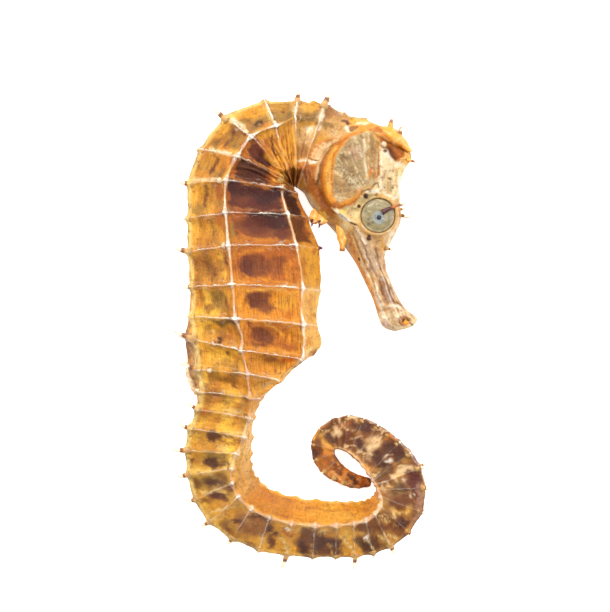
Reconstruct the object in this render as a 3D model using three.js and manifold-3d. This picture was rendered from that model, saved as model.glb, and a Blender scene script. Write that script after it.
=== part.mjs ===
// A dried spiny seahorse lying on its left side, at life size.
// Millimetres, +Z up: the fish's middle plane lies flat, its back to -X, its head towards +Y.
import * as THREE from "three";
import { mergeVertices } from "three/addons/utils/BufferGeometryUtils.js";
import Module from "manifold-3d";

const wasm = await Module();
wasm.setup();
const { Manifold, Mesh: SolidMesh } = wasm;

// ---- Driving dimensions -------------------------------------------------------------------

const CUT = 0.3;               // width of the thin cuts that part the body into its nodes
const CUT_REACH = 60;          // size of the slab that makes a cut
const RING_RISE = 0.045;       // how far a bony ring stands out, as a share of the half section
const SPINE_RADIUS = 0.42;     // foot of a short spine on the trunk
const SPINE_SUNK = 0.5;        // how far a spine's foot lies under the skin
const RING_SPINE_SIDES = 4;
const HEAD_SPINE_SIDES = 6;
const FULL_SIZE_DEPTH = 5;     // half depth of the body from which spines have their full size
const SHORT_SPINE = 0.6;
const LONG_SPINE = 1.4;
const LAST_SPINY_RING = 33;
const LAST_TRUNK_RING = 12;
const EYE_RADIUS = 2.66;       // the eye seen from its side
const EYE_THICKNESS = 1.5;     // half the eye's thickness, from lid to lens
const FIN_THICKNESS = 0.55;

// One row for each station of head, neck and trunk: ring number, a point on the back and one on
// the belly. Whole numbers from 1 are the bony rings; the head's stations are below 0.
const BODY = [
  [-12.7, 17.7, 0.2, 14.5, -0.6],
  [-12.2, 18.3, 1.3, 13.1, -0.1],
  [-11.6, 17.4, 2.3, 12.5, 1.0],
  [-10, 15.0, 5.8, 11.3, 4.5],
  [-9, 13.8, 8.5, 10.0, 7.1],
  [-8, 13.0, 11.2, 8.3, 10.5],
  [-7, 14.2, 14.2, 6.6, 13.0],
  [-6, 15.4, 18.4, 5.6, 14.6],
  [-5, 15.5, 21.9, 4.6, 15.8],
  [-4, 15.0, 25.1, 3.2, 17.3],
  [-2, 12.2, 32.0, 1.1, 19.8],
  [-1, 9.3, 33.3, 0.5, 21.0],
  [1, 3.7, 35.2, -0.7, 22.2],
  [3, -5.8, 35.6, -1.4, 22.4],
  [4, -11.5, 33.6, -1.5, 22.3],
  [5, -15.7, 28.7, -1.3, 21.9],
  [6, -17.8, 23.4, -0.7, 21.0],
  [7, -18.1, 17.8, 0.8, 17.6],
  [8, -18.1, 12.0, 2.7, 12.3],
  [9, -17.8, 6.6, 3.0, 5.7],
  [10, -17.9, 1.9, 2.5, 0.4],
  [11, -18.5, -1.4, 2.7, -3.6],
  [11.5, -18.4, -3.7, -0.3, -5.9],
  [12, -18.1, -6.2, -2.9, -8.3],
  [13, -16.8, -9.8, -6.1, -11.2],
];

// The tail's centre line: ring number, place, and depth of the section seen from the side.
const TAIL = [
  [15, -12.9, -16.5, 10.0],
  [17, -13.1, -22.4, 10.0],
  [18.9, -11.1, -27.1, 10.1],
  [20.7, -6.5, -30.3, 9.5],
  [22.6, 0.4, -31.8, 8.9],
  [24.6, 7.1, -32.0, 8.6],
  [26.8, 11.8, -31.3, 8.1],
  [28.9, 15.2, -28.1, 7.6],
  [30.4, 15.6, -24.7, 8.0],
  [32.5, 13.7, -21.3, 7.6],
  [34.6, 10.9, -18.6, 6.9],
  [36.7, 7.6, -16.9, 5.8],
  [38.8, 4.5, -17.4, 4.4],
  [40.1, 3.3, -19.0, 3.7],
  [41.4, 3.8, -21.1, 3.7],
  [43.5, 6.2, -23.3, 3.2],
  [45.5, 8.7, -24.4, 2.6],
  [47.2, 10.8, -24.7, 1.3],
];

// Half width, height of the middle plane over the floor, and roll of the section in degrees.
const BUILD = [
  [-12.7, 1.1, 4.6, 0],
  [-12.2, 1.75, 4.6, 0],
  [-11.6, 1.95, 4.6, 0],
  [-10, 1.75, 4.6, 0],
  [-9, 1.8, 4.6, 0],
  [-8, 2.3, 4.65, 0],
  [-7, 3.3, 4.7, 0],
  [-6, 4.1, 4.7, 0],
  [-4, 4.8, 4.8, 0],
  [-2, 4.3, 5.1, 0],
  [1, 4.3, 5.7, 0],
  [3, 5.2, 6.2, 0],
  [5, 6.0, 6.6, 0],
  [7, 6.5, 6.7, 0],
  [9, 6.6, 6.7, 0],
  [11, 5.7, 6.6, 0],
  [13, 4.6, 6.0, 0],
  [15, 4.3, 5.2, 8],
  [18, 4.4, 4.5, 32],
  [20.3, 4.2, 4.35, 38],
  [24.6, 3.8, 4.1, 36],
  [27.5, 3.5, 3.7, 20],
  [30, 3.4, 3.4, 0],
  [34.6, 3.0, 3.0, 0],
  [38.8, 1.9, 1.9, 0],
  [43.5, 1.35, 1.3, 0],
  [47.2, 0.5, 0.55, 0],
];

// Where the ridges run round half a section: each pair is the share of the half depth from back
// (-1) to belly (+1) and the share of the half width. Last: how round the faces between them are.
const RIDGES = [
  //        upper          side           lower
  [-12.7, -0.87, 0.5, 0.0, 1.0, 0.87, 0.5, 1.0],
  [-8, -0.87, 0.5, 0.0, 1.0, 0.87, 0.5, 1.0],
  [-6, -0.92, 0.42, -0.1, 1.0, 0.72, 0.7, 0.9],
  [-4, -0.93, 0.34, -0.05, 1.0, 0.7, 0.85, 0.9],
  [-1, -0.96, 0.3, -0.35, 0.95, 0.6, 0.85, 0.7],
  [1, -0.97, 0.32, -0.6, 0.85, 0.55, 0.85, 0.3],
  [4, -0.98, 0.4, -0.38, 1.0, 0.6, 0.72, 0.0],
  [7, -0.98, 0.45, -0.33, 1.0, 0.66, 0.62, 0.0],
  [10, -0.95, 0.52, -0.28, 1.0, 0.68, 0.62, 0.0],
  [12, -0.76, 0.76, 0.25, 0.96, 0.9, 0.5, 0.0],
  [14, -0.88, 0.86, 0.88, 0.86, 0.98, 0.4, 0.0],
  [30, -0.92, 0.88, 0.92, 0.88, 0.97, 0.4, 0.0],
  [40, -0.88, 0.8, 0.88, 0.8, 0.97, 0.4, 0.5],
  [47.2, -0.8, 0.7, 0.8, 0.7, 0.95, 0.4, 1.0],
];

const NODES = [
  // name, first and last station, colour, and stations to a ring
  ["snout", -12.7, -8, 0xc9a878, 2],
  ["head", -8, -1.5, 0xc9b48a, 2],
  ["neck", -1.5, 2.5, 0xb98a3e, 2],
  ["trunk_upper", 2.5, 6.5, 0x9a6a34, 2],
  ["trunk_middle", 6.5, 9.5, 0xa8682c, 2],
  ["trunk_lower", 9.5, 12.5, 0xb9782e, 2],
  ["tail_1", 12.5, 16.5, 0xc08a3a, 2],
  ["tail_2", 16.5, 19.5, 0xb07c34, 2],
  ["tail_3", 19.5, 23.5, 0xb57f36, 2],
  ["tail_4", 23.5, 27.5, 0xb0793a, 2],
  ["tail_5", 27.5, 30.5, 0x9c7038, 2],
  ["tail_6", 30.5, 34.5, 0x8f6c44, 2],
  ["tail_7", 34.5, 37.5, 0x86623a, 2],
  ["tail_8", 37.5, 40.5, 0x7c5730, 2],
  ["tail_tip", 40.5, 47.2, 0x9a6426, 1],
];

// Rings whose spines stand longer than the rest.
const LONG_RINGS = [1, 2, 4, 8, 11, 12, 16, 19, 22, 25, 27, 30];

// ---- The body's frame of curves -----------------------------------------------------------

/** A natural cubic spline through rows of [station, value, value, ...]. */
function spline(rows) {
  const x = rows.map((row) => row[0]);
  const last = rows.length - 1;
  const columns = rows[0].length - 1;
  const bends = [];
  for (let c = 1; c <= columns; c++) {
    const y = rows.map((row) => row[c]);
    const gain = [0];
    const rest = [0];
    for (let i = 1; i < last; i++) {
      const before = x[i] - x[i - 1];
      const after = x[i + 1] - x[i];
      const slopeChange = 6 * ((y[i + 1] - y[i]) / after - (y[i] - y[i - 1]) / before);
      const pivot = 2 * (before + after) - before * gain[i - 1];
      gain.push(after / pivot);
      rest.push((slopeChange - before * rest[i - 1]) / pivot);
    }
    const bend = new Array(last + 1).fill(0);
    for (let i = last - 1; i > 0; i--) bend[i] = rest[i] - gain[i] * bend[i + 1];
    bends.push(bend);
  }
  return (station) => {
    let i = 0;
    while (i < last - 1 && station > x[i + 1]) i++;
    const span = x[i + 1] - x[i];
    const b = (station - x[i]) / span;
    const a = 1 - b;
    return bends.map((bend, c) => {
      const curve = (a ** 3 - a) * bend[i] + (b ** 3 - b) * bend[i + 1];
      return a * rows[i][c + 1] + b * rows[i + 1][c + 1] + (curve * span * span) / 6;
    });
  };
}

/** Straight lines between the same kind of rows, for values that must not overshoot. */
function steps(rows) {
  return (station) => {
    let i = 0;
    while (i < rows.length - 2 && station > rows[i + 1][0]) i++;
    const b = THREE.MathUtils.clamp((station - rows[i][0]) / (rows[i + 1][0] - rows[i][0]), 0, 1);
    return rows[i].slice(1).map((value, c) => value + (rows[i + 1][c + 1] - value) * b);
  };
}

/** The tail's rows as back and belly points, square to its centre line. */
function tailAsBody() {
  const [, backX, backY, bellyX, bellyY] = BODY[BODY.length - 1];
  const hips = [13, (backX + bellyX) / 2, (backY + bellyY) / 2];
  const line = spline([hips, ...TAIL.map((row) => row.slice(0, 3))]);
  const nudge = 0.05;
  return TAIL.map(([ring, x, y, depth]) => {
    const ahead = line(Math.min(ring + nudge, TAIL[TAIL.length - 1][0]));
    const behind = line(ring - nudge);
    const along = new THREE.Vector2(ahead[0] - behind[0], ahead[1] - behind[1]).normalize();
    const side = new THREE.Vector2(-along.y, along.x).multiplyScalar(depth / 2);
    return [ring, x - side.x, y - side.y, x + side.x, y + side.y];
  });
}

const outline = spline([...BODY, ...tailAsBody()]);
const build = spline(BUILD);
const ridges = steps(RIDGES);

/** Middle, direction from back to belly, half depth, half width, height and roll at a station. */
function stationAt(station) {
  const [backX, backY, bellyX, bellyY] = outline(station);
  const [halfWidth, height, roll] = build(station);
  const across = new THREE.Vector3(bellyX - backX, bellyY - backY, 0);
  const halfDepth = across.length() / 2;
  const middle = new THREE.Vector3((backX + bellyX) / 2, (backY + bellyY) / 2, height);
  return { middle, across: across.normalize(), halfDepth, halfWidth, roll: roll * (Math.PI / 180) };
}

/** The point between two ridge points of a section, pushed out to their mean radius by roundness. */
function between(p, q, roundness) {
  const x = (p[0] + q[0]) / 2;
  const y = (p[1] + q[1]) / 2;
  const out = (Math.hypot(...p) + Math.hypot(...q)) / (2 * Math.hypot(x, y));
  const scale = 1 + (out - 1) * roundness;
  return [x * scale, y * scale];
}

/** Half a section, back to belly: back, upper, side and lower ridges, belly, and their mid points. */
function halfSection(station, rise) {
  const [ua, ub, sa, sb, la, lb, roundness] = ridges(station);
  const back = [-1, 0];
  const belly = [1, 0];
  const grow = 1 + rise;
  const upper = [ua * grow, ub * grow];
  const side = [sa * grow, sb * grow];
  const lower = [la, lb * grow];
  return {
    loop: [back, upper, between(upper, side, roundness), side,
      between(side, lower, roundness), lower, between(lower, belly, roundness), belly],
    ridges: { back, upper, side, lower, belly },
  };
}

/** A section point in space, from its shares of half depth and half width. */
function place(frame, fit, [a, b]) {
  const x = a * frame.halfDepth;
  const y = b * frame.halfWidth;
  const depth = (x * Math.cos(frame.roll) - y * Math.sin(frame.roll)) * fit;
  const height = (x * Math.sin(frame.roll) + y * Math.cos(frame.roll)) * fit;
  return frame.middle.clone().addScaledVector(frame.across, depth).setZ(frame.middle.z + height);
}

/** How much a rolled section shrinks so that its outline keeps the depth that its row gives. */
function fitOf(frame, loop) {
  const reach = loop.map(([a, b]) => Math.max(
    Math.abs(a * frame.halfDepth * Math.cos(frame.roll) - b * frame.halfWidth * Math.sin(frame.roll)),
    Math.abs(a * frame.halfDepth * Math.cos(frame.roll) + b * frame.halfWidth * Math.sin(frame.roll)),
  ));
  return frame.roll < 0.01 ? 1 : frame.halfDepth / Math.max(...reach);
}

function sectionPoints(station, rise) {
  const frame = stationAt(station);
  const { loop } = halfSection(station, rise);
  const fit = fitOf(frame, loop);
  const mirrored = loop.slice(1, -1).reverse().map(([a, b]) => [a, -b]);
  return [...loop, ...mirrored].map((point) => place(frame, fit, point));
}

// ---- Solids -------------------------------------------------------------------------------

function toSolid(geometry) {
  geometry.deleteAttribute("normal");
  geometry.deleteAttribute("uv");
  const merged = mergeVertices(geometry, 1e-5);
  return new Manifold(new SolidMesh({
    numProp: 3,
    vertProperties: new Float32Array(merged.attributes.position.array),
    triVerts: new Uint32Array(merged.index.array),
  }));
}

function toGeometry(solid) {
  const mesh = solid.getMesh();
  const geometry = new THREE.BufferGeometry();
  geometry.setAttribute("position", new THREE.BufferAttribute(new Float32Array(mesh.vertProperties), 3));
  geometry.setIndex(new THREE.BufferAttribute(new Uint32Array(mesh.triVerts), 1));
  return geometry;
}

/** A closed solid through loops of points, with a point in the middle of each end. */
function loft(loops) {
  const positions = [];
  const index = [];
  const count = loops[0].length;
  for (const loop of loops) loop.forEach((p) => positions.push(p.x, p.y, p.z));
  for (let i = 0; i + 1 < loops.length; i++) {
    for (let j = 0; j < count; j++) {
      const a = i * count + j;
      const b = i * count + ((j + 1) % count);
      index.push(a, a + count, b, b, a + count, b + count);
    }
  }
  [0, loops.length - 1].forEach((end) => {
    const middle = new THREE.Vector3();
    loops[end].forEach((p) => middle.addScaledVector(p, 1 / count));
    const hub = positions.length / 3;
    positions.push(middle.x, middle.y, middle.z);
    for (let j = 0; j < count; j++) {
      const a = end * count + j;
      const b = end * count + ((j + 1) % count);
      index.push(...(end === 0 ? [hub, a, b] : [hub, b, a]));
    }
  });
  const geometry = new THREE.BufferGeometry();
  geometry.setAttribute("position", new THREE.Float32BufferAttribute(positions, 3));
  geometry.setIndex(index);
  return toSolid(geometry);
}

/** A spine with its foot sunk under the point it stands on. */
function spine(foot, direction, height, radius, sides) {
  const cone = new THREE.ConeGeometry(radius, height + SPINE_SUNK, sides);
  cone.translate(0, (height - SPINE_SUNK) / 2, 0);
  cone.applyQuaternion(new THREE.Quaternion().setFromUnitVectors(new THREE.Vector3(0, 1, 0), direction));
  cone.translate(foot.x, foot.y, foot.z);
  return toSolid(cone);
}

function ellipsoid(centre, radii, sides, rows) {
  const ball = new THREE.SphereGeometry(1, sides, rows);
  ball.rotateX(Math.PI / 2);
  ball.scale(...radii);
  ball.translate(centre.x, centre.y, centre.z);
  return toSolid(ball);
}

/** A thin slab lying across the body at a station: what a cut takes away. */
function cutSlab(station) {
  const frame = stationAt(station);
  const slab = new THREE.BoxGeometry(CUT_REACH, CUT, CUT_REACH);
  slab.rotateZ(Math.atan2(frame.across.y, frame.across.x));
  slab.translate(frame.middle.x, frame.middle.y, frame.middle.z);
  return toSolid(slab);
}

/** The spines on the ridges of one ring: on the trunk on every ridge, on the tail mostly the upper. */
function ringSpines(ring) {
  const frame = stationAt(ring);
  const { loop, ridges: points } = halfSection(ring, RING_RISE);
  const fit = fitOf(frame, loop);
  const size = THREE.MathUtils.clamp(frame.halfDepth / FULL_SIZE_DEPTH, 0.5, 1);
  const long = LONG_RINGS.includes(ring);
  const length = (long ? LONG_SPINE : SHORT_SPINE) * size;
  const radius = SPINE_RADIUS * size * (long ? 1.7 : 1.2);
  const wanted = [{ ridge: "upper", share: 1, lean: 0.45 }];
  if (long || ring <= LAST_TRUNK_RING) wanted.push({ ridge: "side", share: 0.6, lean: 1 });
  if (ring > 5 && ring < LAST_TRUNK_RING) wanted.push({ ridge: "lower", share: 0.6, lean: 1 });
  if (ring > 7 && ring < LAST_TRUNK_RING) wanted.push({ ridge: "belly", share: 0.9, lean: 0 });
  const spines = [];
  for (const { ridge, share, lean } of wanted) {
    const [a, b] = points[ridge];
    for (const sign of ridge === "belly" ? [1] : [1, -1]) {
      const foot = place(frame, fit, [a, b * sign]);
      const inside = place(frame, fit, [0, b * (1 - lean) * sign]);
      const direction = foot.clone().sub(inside).normalize();
      const footRadius = radius * Math.sqrt(share);
      spines.push(spine(foot, direction, length * share, footRadius, RING_SPINE_SIDES));
    }
  }
  return spines;
}

/** The body between two stations: rings raised, faces between them let down. */
function bodyLength(first, last, perRing) {
  const loops = [];
  const count = Math.round((last - first) * perRing);
  for (let i = 0; i <= count; i++) {
    const station = first + ((last - first) * i) / count;
    const onRing = Math.abs(station - Math.round(station)) < 0.01 && station > 0;
    loops.push(sectionPoints(station, onRing ? RING_RISE : 0));
  }
  let solid = loft(loops);
  for (let ring = Math.ceil(first); ring <= last; ring++) {
    if (ring < 1 || ring > LAST_SPINY_RING) continue;
    solid = Manifold.union([solid, ...ringSpines(ring)]);
  }
  return solid;
}

// ---- Head ---------------------------------------------------------------------------------

const HEAD_LEVEL = 4.75;       // height of the head's middle plane over the floor
const EYE = { x: 12.0, y: 17.65, out: 2.6, facets: [16, 8] };
// Rounded swellings of each side of the head: place, distance from the middle plane, radii.
const SWELLINGS = [
  { name: "orbit", at: [12.0, 17.65], out: 2.9, radii: [3.5, 3.5, 1.6], facets: [14, 6] },
  { name: "gill cover", at: [7.6, 24.4], out: 2.65, radii: [3.9, 5.6, 2.9], facets: [12, 6] },
  { name: "throat", at: [2.7, 17.7], out: 1.25, radii: [1.25, 1.1, 1.6], facets: [8, 6] },
];

function eyeSolid(sign, grow = 0) {
  const centre = new THREE.Vector3(EYE.x, EYE.y, HEAD_LEVEL + sign * EYE.out);
  const radius = EYE_RADIUS + grow;
  return ellipsoid(centre, [radius, radius, EYE_THICKNESS + grow], ...EYE.facets);
}

/** The socket: round the eye, and open from its widest part outwards. */
function socketSolid(sign) {
  const depth = 4;
  const opening = new THREE.CylinderGeometry(EYE_RADIUS + CUT, EYE_RADIUS + CUT, depth, EYE.facets[0]);
  opening.rotateX(Math.PI / 2);
  opening.rotateZ(Math.PI / 2);
  opening.translate(EYE.x, EYE.y, HEAD_LEVEL + sign * (EYE.out + depth / 2));
  return eyeSolid(sign, CUT).add(toSolid(opening));
}

/** Spines of one side of the head: place seen from the side, distance from the middle plane. */
const HEAD_SPINES = [
  { at: [14.2, 18.8], out: 3.0, towards: [0.8, 0.6, 0.15], height: 2.6, radius: 1.1 },
  { at: [14.9, 17.0], out: 1.6, towards: [0.93, 0.35, 0.1], height: 2.0, radius: 1.3 },
  { at: [12.9, 28.4], out: 2.4, towards: [0.3, 0.3, 0.9], height: 0.8, radius: 0.6 },
  { at: [5.7, 15.9], out: 3.0, towards: [0.26, -0.95, 0.15], height: 3.9, radius: 0.95 },
  { at: [2.4, 17.2], out: 1.4, towards: [-0.1, -0.97, 0.2], height: 1.2, radius: 0.7 },
  { at: [13.8, 12.7], out: 1.2, towards: [0.9, -0.1, 0.4], height: 0.7, radius: 0.45 },
];
const NAPE_SPINE = { at: [6.6, 33.2, 5.3], towards: [-0.1, 1, 0], height: 1.0, radius: 0.5 };

function headSpine(foot, towards, height, radius) {
  const direction = new THREE.Vector3(...towards).normalize();
  return spine(new THREE.Vector3(...foot), direction, height, radius, HEAD_SPINE_SIDES);
}

function headSolid() {
  const parts = [bodyLength(-8, -1.5, 2)];
  for (const sign of [1, -1]) {
    for (const { at, out, radii, facets } of SWELLINGS) {
      const centre = new THREE.Vector3(at[0], at[1], HEAD_LEVEL + sign * out);
      parts.push(ellipsoid(centre, radii, ...facets));
    }
    for (const { at, out, towards, height, radius } of HEAD_SPINES) {
      const direction = [towards[0], towards[1], towards[2] * sign];
      parts.push(headSpine([...at, HEAD_LEVEL + sign * out], direction, height, radius));
    }
  }
  parts.push(headSpine(NAPE_SPINE.at, NAPE_SPINE.towards, NAPE_SPINE.height, NAPE_SPINE.radius));
  const sockets = [socketSolid(1), socketSolid(-1)];
  return Manifold.union(parts).subtract(Manifold.union(sockets));
}

/** The bony crown on the head: a low stump with five points. */
const CORONET = {
  foot: new THREE.Vector3(13.5, 28.6, 4.9),
  along: new THREE.Vector3(0.36, -0.93, 0),
  out: new THREE.Vector3(0.93, 0.36, 0),
  halfLength: 3.7,
  halfWidth: 1.9,
  sides: 12,
  // The stump's loops: height over the foot, and share of the half length and half width.
  stump: [[-1.2, 1.0], [1.1, 0.84], [2.2, 0.8]],
  // Where a point starts: share of its own place along and to the side, and height.
  pointFoot: { share: 0.73, out: 1.3 },
  points: [
    // along, to the side, height over the foot, radius of the foot
    [-4.4, 1.0, 3.4, 0.9],
    [-2.4, -1.4, 4.1, 0.9],
    [-0.9, 1.5, 4.2, 1.0],
    [0.4, -1.4, 4.0, 1.0],
    [3.0, 0.0, 4.5, 1.6],
  ],
};

function coronetPoint(along, side, out) {
  const { foot, along: u, out: w } = CORONET;
  return foot.clone().addScaledVector(u, along).addScaledVector(w, out).setZ(foot.z + side);
}

function coronetSolid() {
  const { stump, halfLength, halfWidth, sides, pointFoot } = CORONET;
  const loops = stump.map(([out, share]) => {
    const loop = [];
    for (let i = 0; i < sides; i++) {
      const angle = (i / sides) * 2 * Math.PI;
      loop.push(coronetPoint(Math.cos(angle) * halfLength * share, Math.sin(angle) * halfWidth * share, out));
    }
    return loop;
  });
  const parts = [loft(loops)];
  for (const [along, side, height, radius] of CORONET.points) {
    const foot = coronetPoint(along * pointFoot.share, side * pointFoot.share, pointFoot.out);
    const direction = coronetPoint(along, side, height).sub(foot);
    parts.push(spine(foot, direction.clone().normalize(), direction.length(), radius, HEAD_SPINE_SIDES));
  }
  return Manifold.union(parts);
}

// ---- Fins ---------------------------------------------------------------------------------

/** A thin plate from an outline in the XY plane, its middle at z = 0. */
function plate(points) {
  const shape = new THREE.Shape(points.map(([x, y]) => new THREE.Vector2(x, y)));
  const geometry = new THREE.ExtrudeGeometry(shape, { depth: FIN_THICKNESS, bevelEnabled: false });
  geometry.translate(0, 0, -FIN_THICKNESS / 2);
  return geometry;
}

/** The fan of a pectoral fin, folded back against the side of the neck. */
const PECTORAL = { root: [2.4, 26.3, 5.3], side: 5.15, length: 4.3, from: 20, to: 102, tilt: 8, rays: 9 };

function pectoralSolid(sign) {
  const points = [[0, 0]];
  const { root, side, length, from, to, rays } = PECTORAL;
  for (let i = 0; i <= rays; i++) {
    const angle = THREE.MathUtils.degToRad(from + ((to - from) * i) / rays);
    const reach = length * (0.82 + 0.18 * Math.sin((Math.PI * i) / rays));
    points.push([Math.cos(angle) * reach, Math.sin(angle) * reach]);
  }
  const fan = plate(points);
  fan.rotateX(THREE.MathUtils.degToRad(-PECTORAL.tilt * sign));
  fan.translate(root[0], root[1], root[2] + sign * side);
  return toSolid(fan);
}

/** The shrunken dorsal fin: a strip standing on the back, where trunk and tail meet. */
const DORSAL = { first: 12.15, last: 14.1, height: 0.8, sunk: 0.4, level: 6.35, steps: 8 };

function dorsalSolid() {
  const inner = [];
  const outer = [];
  for (let i = 0; i <= DORSAL.steps; i++) {
    const share = i / DORSAL.steps;
    const station = DORSAL.first + (DORSAL.last - DORSAL.first) * share;
    const frame = stationAt(station);
    const rise = DORSAL.height * Math.sin(Math.PI * (0.12 + 0.76 * share));
    const from = frame.halfDepth - DORSAL.sunk;
    const to = frame.halfDepth + CUT + rise;
    inner.push([frame.middle.x - frame.across.x * from, frame.middle.y - frame.across.y * from]);
    outer.push([frame.middle.x - frame.across.x * to, frame.middle.y - frame.across.y * to]);
  }
  const fin = plate([...inner, ...outer.reverse()]);
  fin.translate(0, 0, DORSAL.level);
  return toSolid(fin);
}

// ---- The whole ----------------------------------------------------------------------------

const solids = new Map();
for (const [name, first, last, colour, perRing] of NODES) {
  let solid = name === "head" ? headSolid() : bodyLength(first, last, perRing);
  if (first > BODY[0][0]) solid = solid.subtract(cutSlab(first));
  if (name !== "tail_tip") solid = solid.subtract(cutSlab(last));
  solids.set(name, { solid, colour });
}

/** Takes a piece's neighbour away from it, grown by the width of a cut all round. */
function clearOf(solid, neighbour) {
  let grown = neighbour;
  for (const axis of [[1, 0, 0], [0, 1, 0], [0, 0, 1]]) {
    const shifts = [-CUT, CUT].map((d) => neighbour.translate(axis.map((v) => v * d)));
    grown = Manifold.union([grown, ...shifts]);
  }
  return solid.subtract(grown);
}

const head = solids.get("head").solid;
const neck = solids.get("neck").solid;
solids.set("coronet", { solid: clearOf(coronetSolid(), head), colour: 0xd9a048 });
solids.set("eye_right", { solid: eyeSolid(1), colour: 0x6f6a4c });
solids.set("eye_left", { solid: eyeSolid(-1), colour: 0x6f6a4c });
for (const [name, sign] of [["pectoral_fin_right", 1], ["pectoral_fin_left", -1]]) {
  const fin = clearOf(clearOf(pectoralSolid(sign), neck), head);
  solids.set(name, { solid: fin, colour: 0xd8b070 });
}
const hips = Manifold.union([solids.get("trunk_lower").solid, solids.get("tail_1").solid]);
solids.set("dorsal_fin", { solid: clearOf(dorsalSolid(), hips), colour: 0xe2d3b0 });

// All that would reach under the floor is flattened on it.
const underFloor = toSolid(new THREE.BoxGeometry(200, 200, 20).translate(0, 0, -10));

const group = new THREE.Group();
const box = new THREE.Box3();
for (const [name, { solid, colour }] of solids) {
  const trimmed = solid.subtract(underFloor);
  const bodies = trimmed.decompose().sort((p, q) => q.volume() - p.volume());
  const material = new THREE.MeshStandardMaterial({ color: colour, roughness: 0.55, metalness: 0 });
  const mesh = new THREE.Mesh(toGeometry(bodies[0]), material);
  mesh.name = name;
  mesh.geometry.computeBoundingBox();
  box.union(mesh.geometry.boundingBox);
  group.add(mesh);
}

// The origin lies on the floor, under the middle of the whole.
const middle = box.getCenter(new THREE.Vector3());
for (const mesh of group.children) mesh.geometry.translate(-middle.x, -middle.y, -box.min.z);

export default group;
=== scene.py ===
"""The looks of a dried spiny seahorse that lies on its left side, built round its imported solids."""

import logging
import math
from dataclasses import dataclass, field
from enum import Enum
from typing import Any, Sequence

import bpy
import numpy as np
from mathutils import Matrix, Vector
from mathutils.bvhtree import BVHTree


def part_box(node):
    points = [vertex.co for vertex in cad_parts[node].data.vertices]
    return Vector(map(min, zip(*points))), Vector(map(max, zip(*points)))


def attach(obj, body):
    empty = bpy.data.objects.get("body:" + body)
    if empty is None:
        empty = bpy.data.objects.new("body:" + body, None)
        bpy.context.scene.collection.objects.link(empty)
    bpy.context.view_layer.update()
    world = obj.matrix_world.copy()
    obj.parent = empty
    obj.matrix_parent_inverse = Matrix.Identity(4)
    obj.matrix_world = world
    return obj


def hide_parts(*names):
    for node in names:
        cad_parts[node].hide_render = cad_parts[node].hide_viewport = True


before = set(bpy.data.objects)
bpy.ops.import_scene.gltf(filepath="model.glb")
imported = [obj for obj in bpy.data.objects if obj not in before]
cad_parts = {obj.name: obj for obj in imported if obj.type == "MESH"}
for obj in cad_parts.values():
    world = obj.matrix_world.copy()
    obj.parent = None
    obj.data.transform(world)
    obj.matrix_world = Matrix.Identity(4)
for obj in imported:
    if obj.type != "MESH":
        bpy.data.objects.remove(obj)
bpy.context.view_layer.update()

log = logging.getLogger("seahorse")
Array = np.ndarray
Piece = bpy.types.Object
Socket = bpy.types.NodeSocket
Material = bpy.types.Material
Place = tuple[float, float, float]
Line = Sequence[tuple[float, float]]

MM = 0.001
EYE_AT = (12.0, 17.65)         # the eyes' middle in the drawing, in mm
HEAD_LEVEL = 4.75              # height of the head's middle plane over the floor, in mm
EYE_OUT = 2.6                  # from the middle plane to the middle of an eye
EYE_RADIUS = 2.62

# The drawing is in millimetres: X from back to belly, Y towards the arch of the neck, Z up through
# the right flank. One row a station of head, neck and trunk: ring, a point on the back, on the belly.
BODY = np.array([
    [-12.7, 17.7, 0.2, 14.5, -0.6],
    [-12.2, 18.3, 1.3, 13.1, -0.1],
    [-11.6, 17.3, 2.3, 12.3, 1.0],
    [-10, 14.75, 5.75, 11.2, 4.5],
    [-9, 13.65, 8.45, 10.0, 7.1],
    [-8, 13.0, 11.2, 8.3, 10.5],
    [-7, 14.2, 14.2, 6.6, 13.0],
    [-6, 15.4, 18.4, 5.6, 14.6],
    [-5, 15.5, 21.9, 4.6, 15.8],
    [-4, 15.0, 25.1, 3.2, 17.3],
    [-2, 12.2, 32.0, 1.1, 19.8],
    [-1, 9.3, 32.9, 0.5, 21.0],
    [0, 6.5, 33.9, -0.1, 21.6],
    [1, 3.7, 35.2, -0.7, 22.2],
    [3, -5.8, 35.6, -1.4, 22.4],
    [4, -11.5, 33.6, -1.5, 22.3],
    [5, -15.7, 28.7, -1.3, 21.9],
    [6, -17.8, 23.4, -0.7, 21.0],
    [7, -18.1, 17.8, 0.8, 17.6],
    [8, -18.1, 12.0, 2.7, 12.3],
    [9, -17.8, 6.6, 3.0, 5.7],
    [10, -17.9, 1.9, 2.5, 0.4],
    [11, -18.5, -1.4, 2.7, -3.6],
    [11.5, -18.4, -3.7, -0.3, -5.9],
    [12, -18.1, -6.2, -2.9, -8.3],
    [13, -16.8, -9.8, -6.1, -11.2],
])

# The tail's centre line: ring, place, and depth of the section seen from the side.
TAIL = np.array([
    [15, -12.9, -16.5, 10.0],
    [17, -13.1, -22.4, 10.0],
    [18.9, -11.1, -27.1, 10.1],
    [20.7, -6.5, -30.3, 9.5],
    [22.6, 0.4, -31.8, 8.9],
    [24.6, 7.1, -32.0, 8.6],
    [26.8, 11.8, -31.3, 8.1],
    [28.9, 15.2, -28.1, 7.6],
    [30.4, 15.6, -24.7, 8.0],
    [32.5, 13.7, -21.3, 7.6],
    [34.6, 10.9, -18.6, 6.9],
    [36.7, 7.6, -16.9, 5.8],
    [38.8, 4.5, -17.4, 4.4],
    [40.1, 3.3, -19.0, 3.7],
    [41.4, 3.8, -21.2, 3.3],
    [43.5, 6.2, -23.5, 2.65],
    [45.5, 8.6, -24.5, 2.15],
    [47.2, 10.7, -24.7, 1.2],
])

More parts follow.
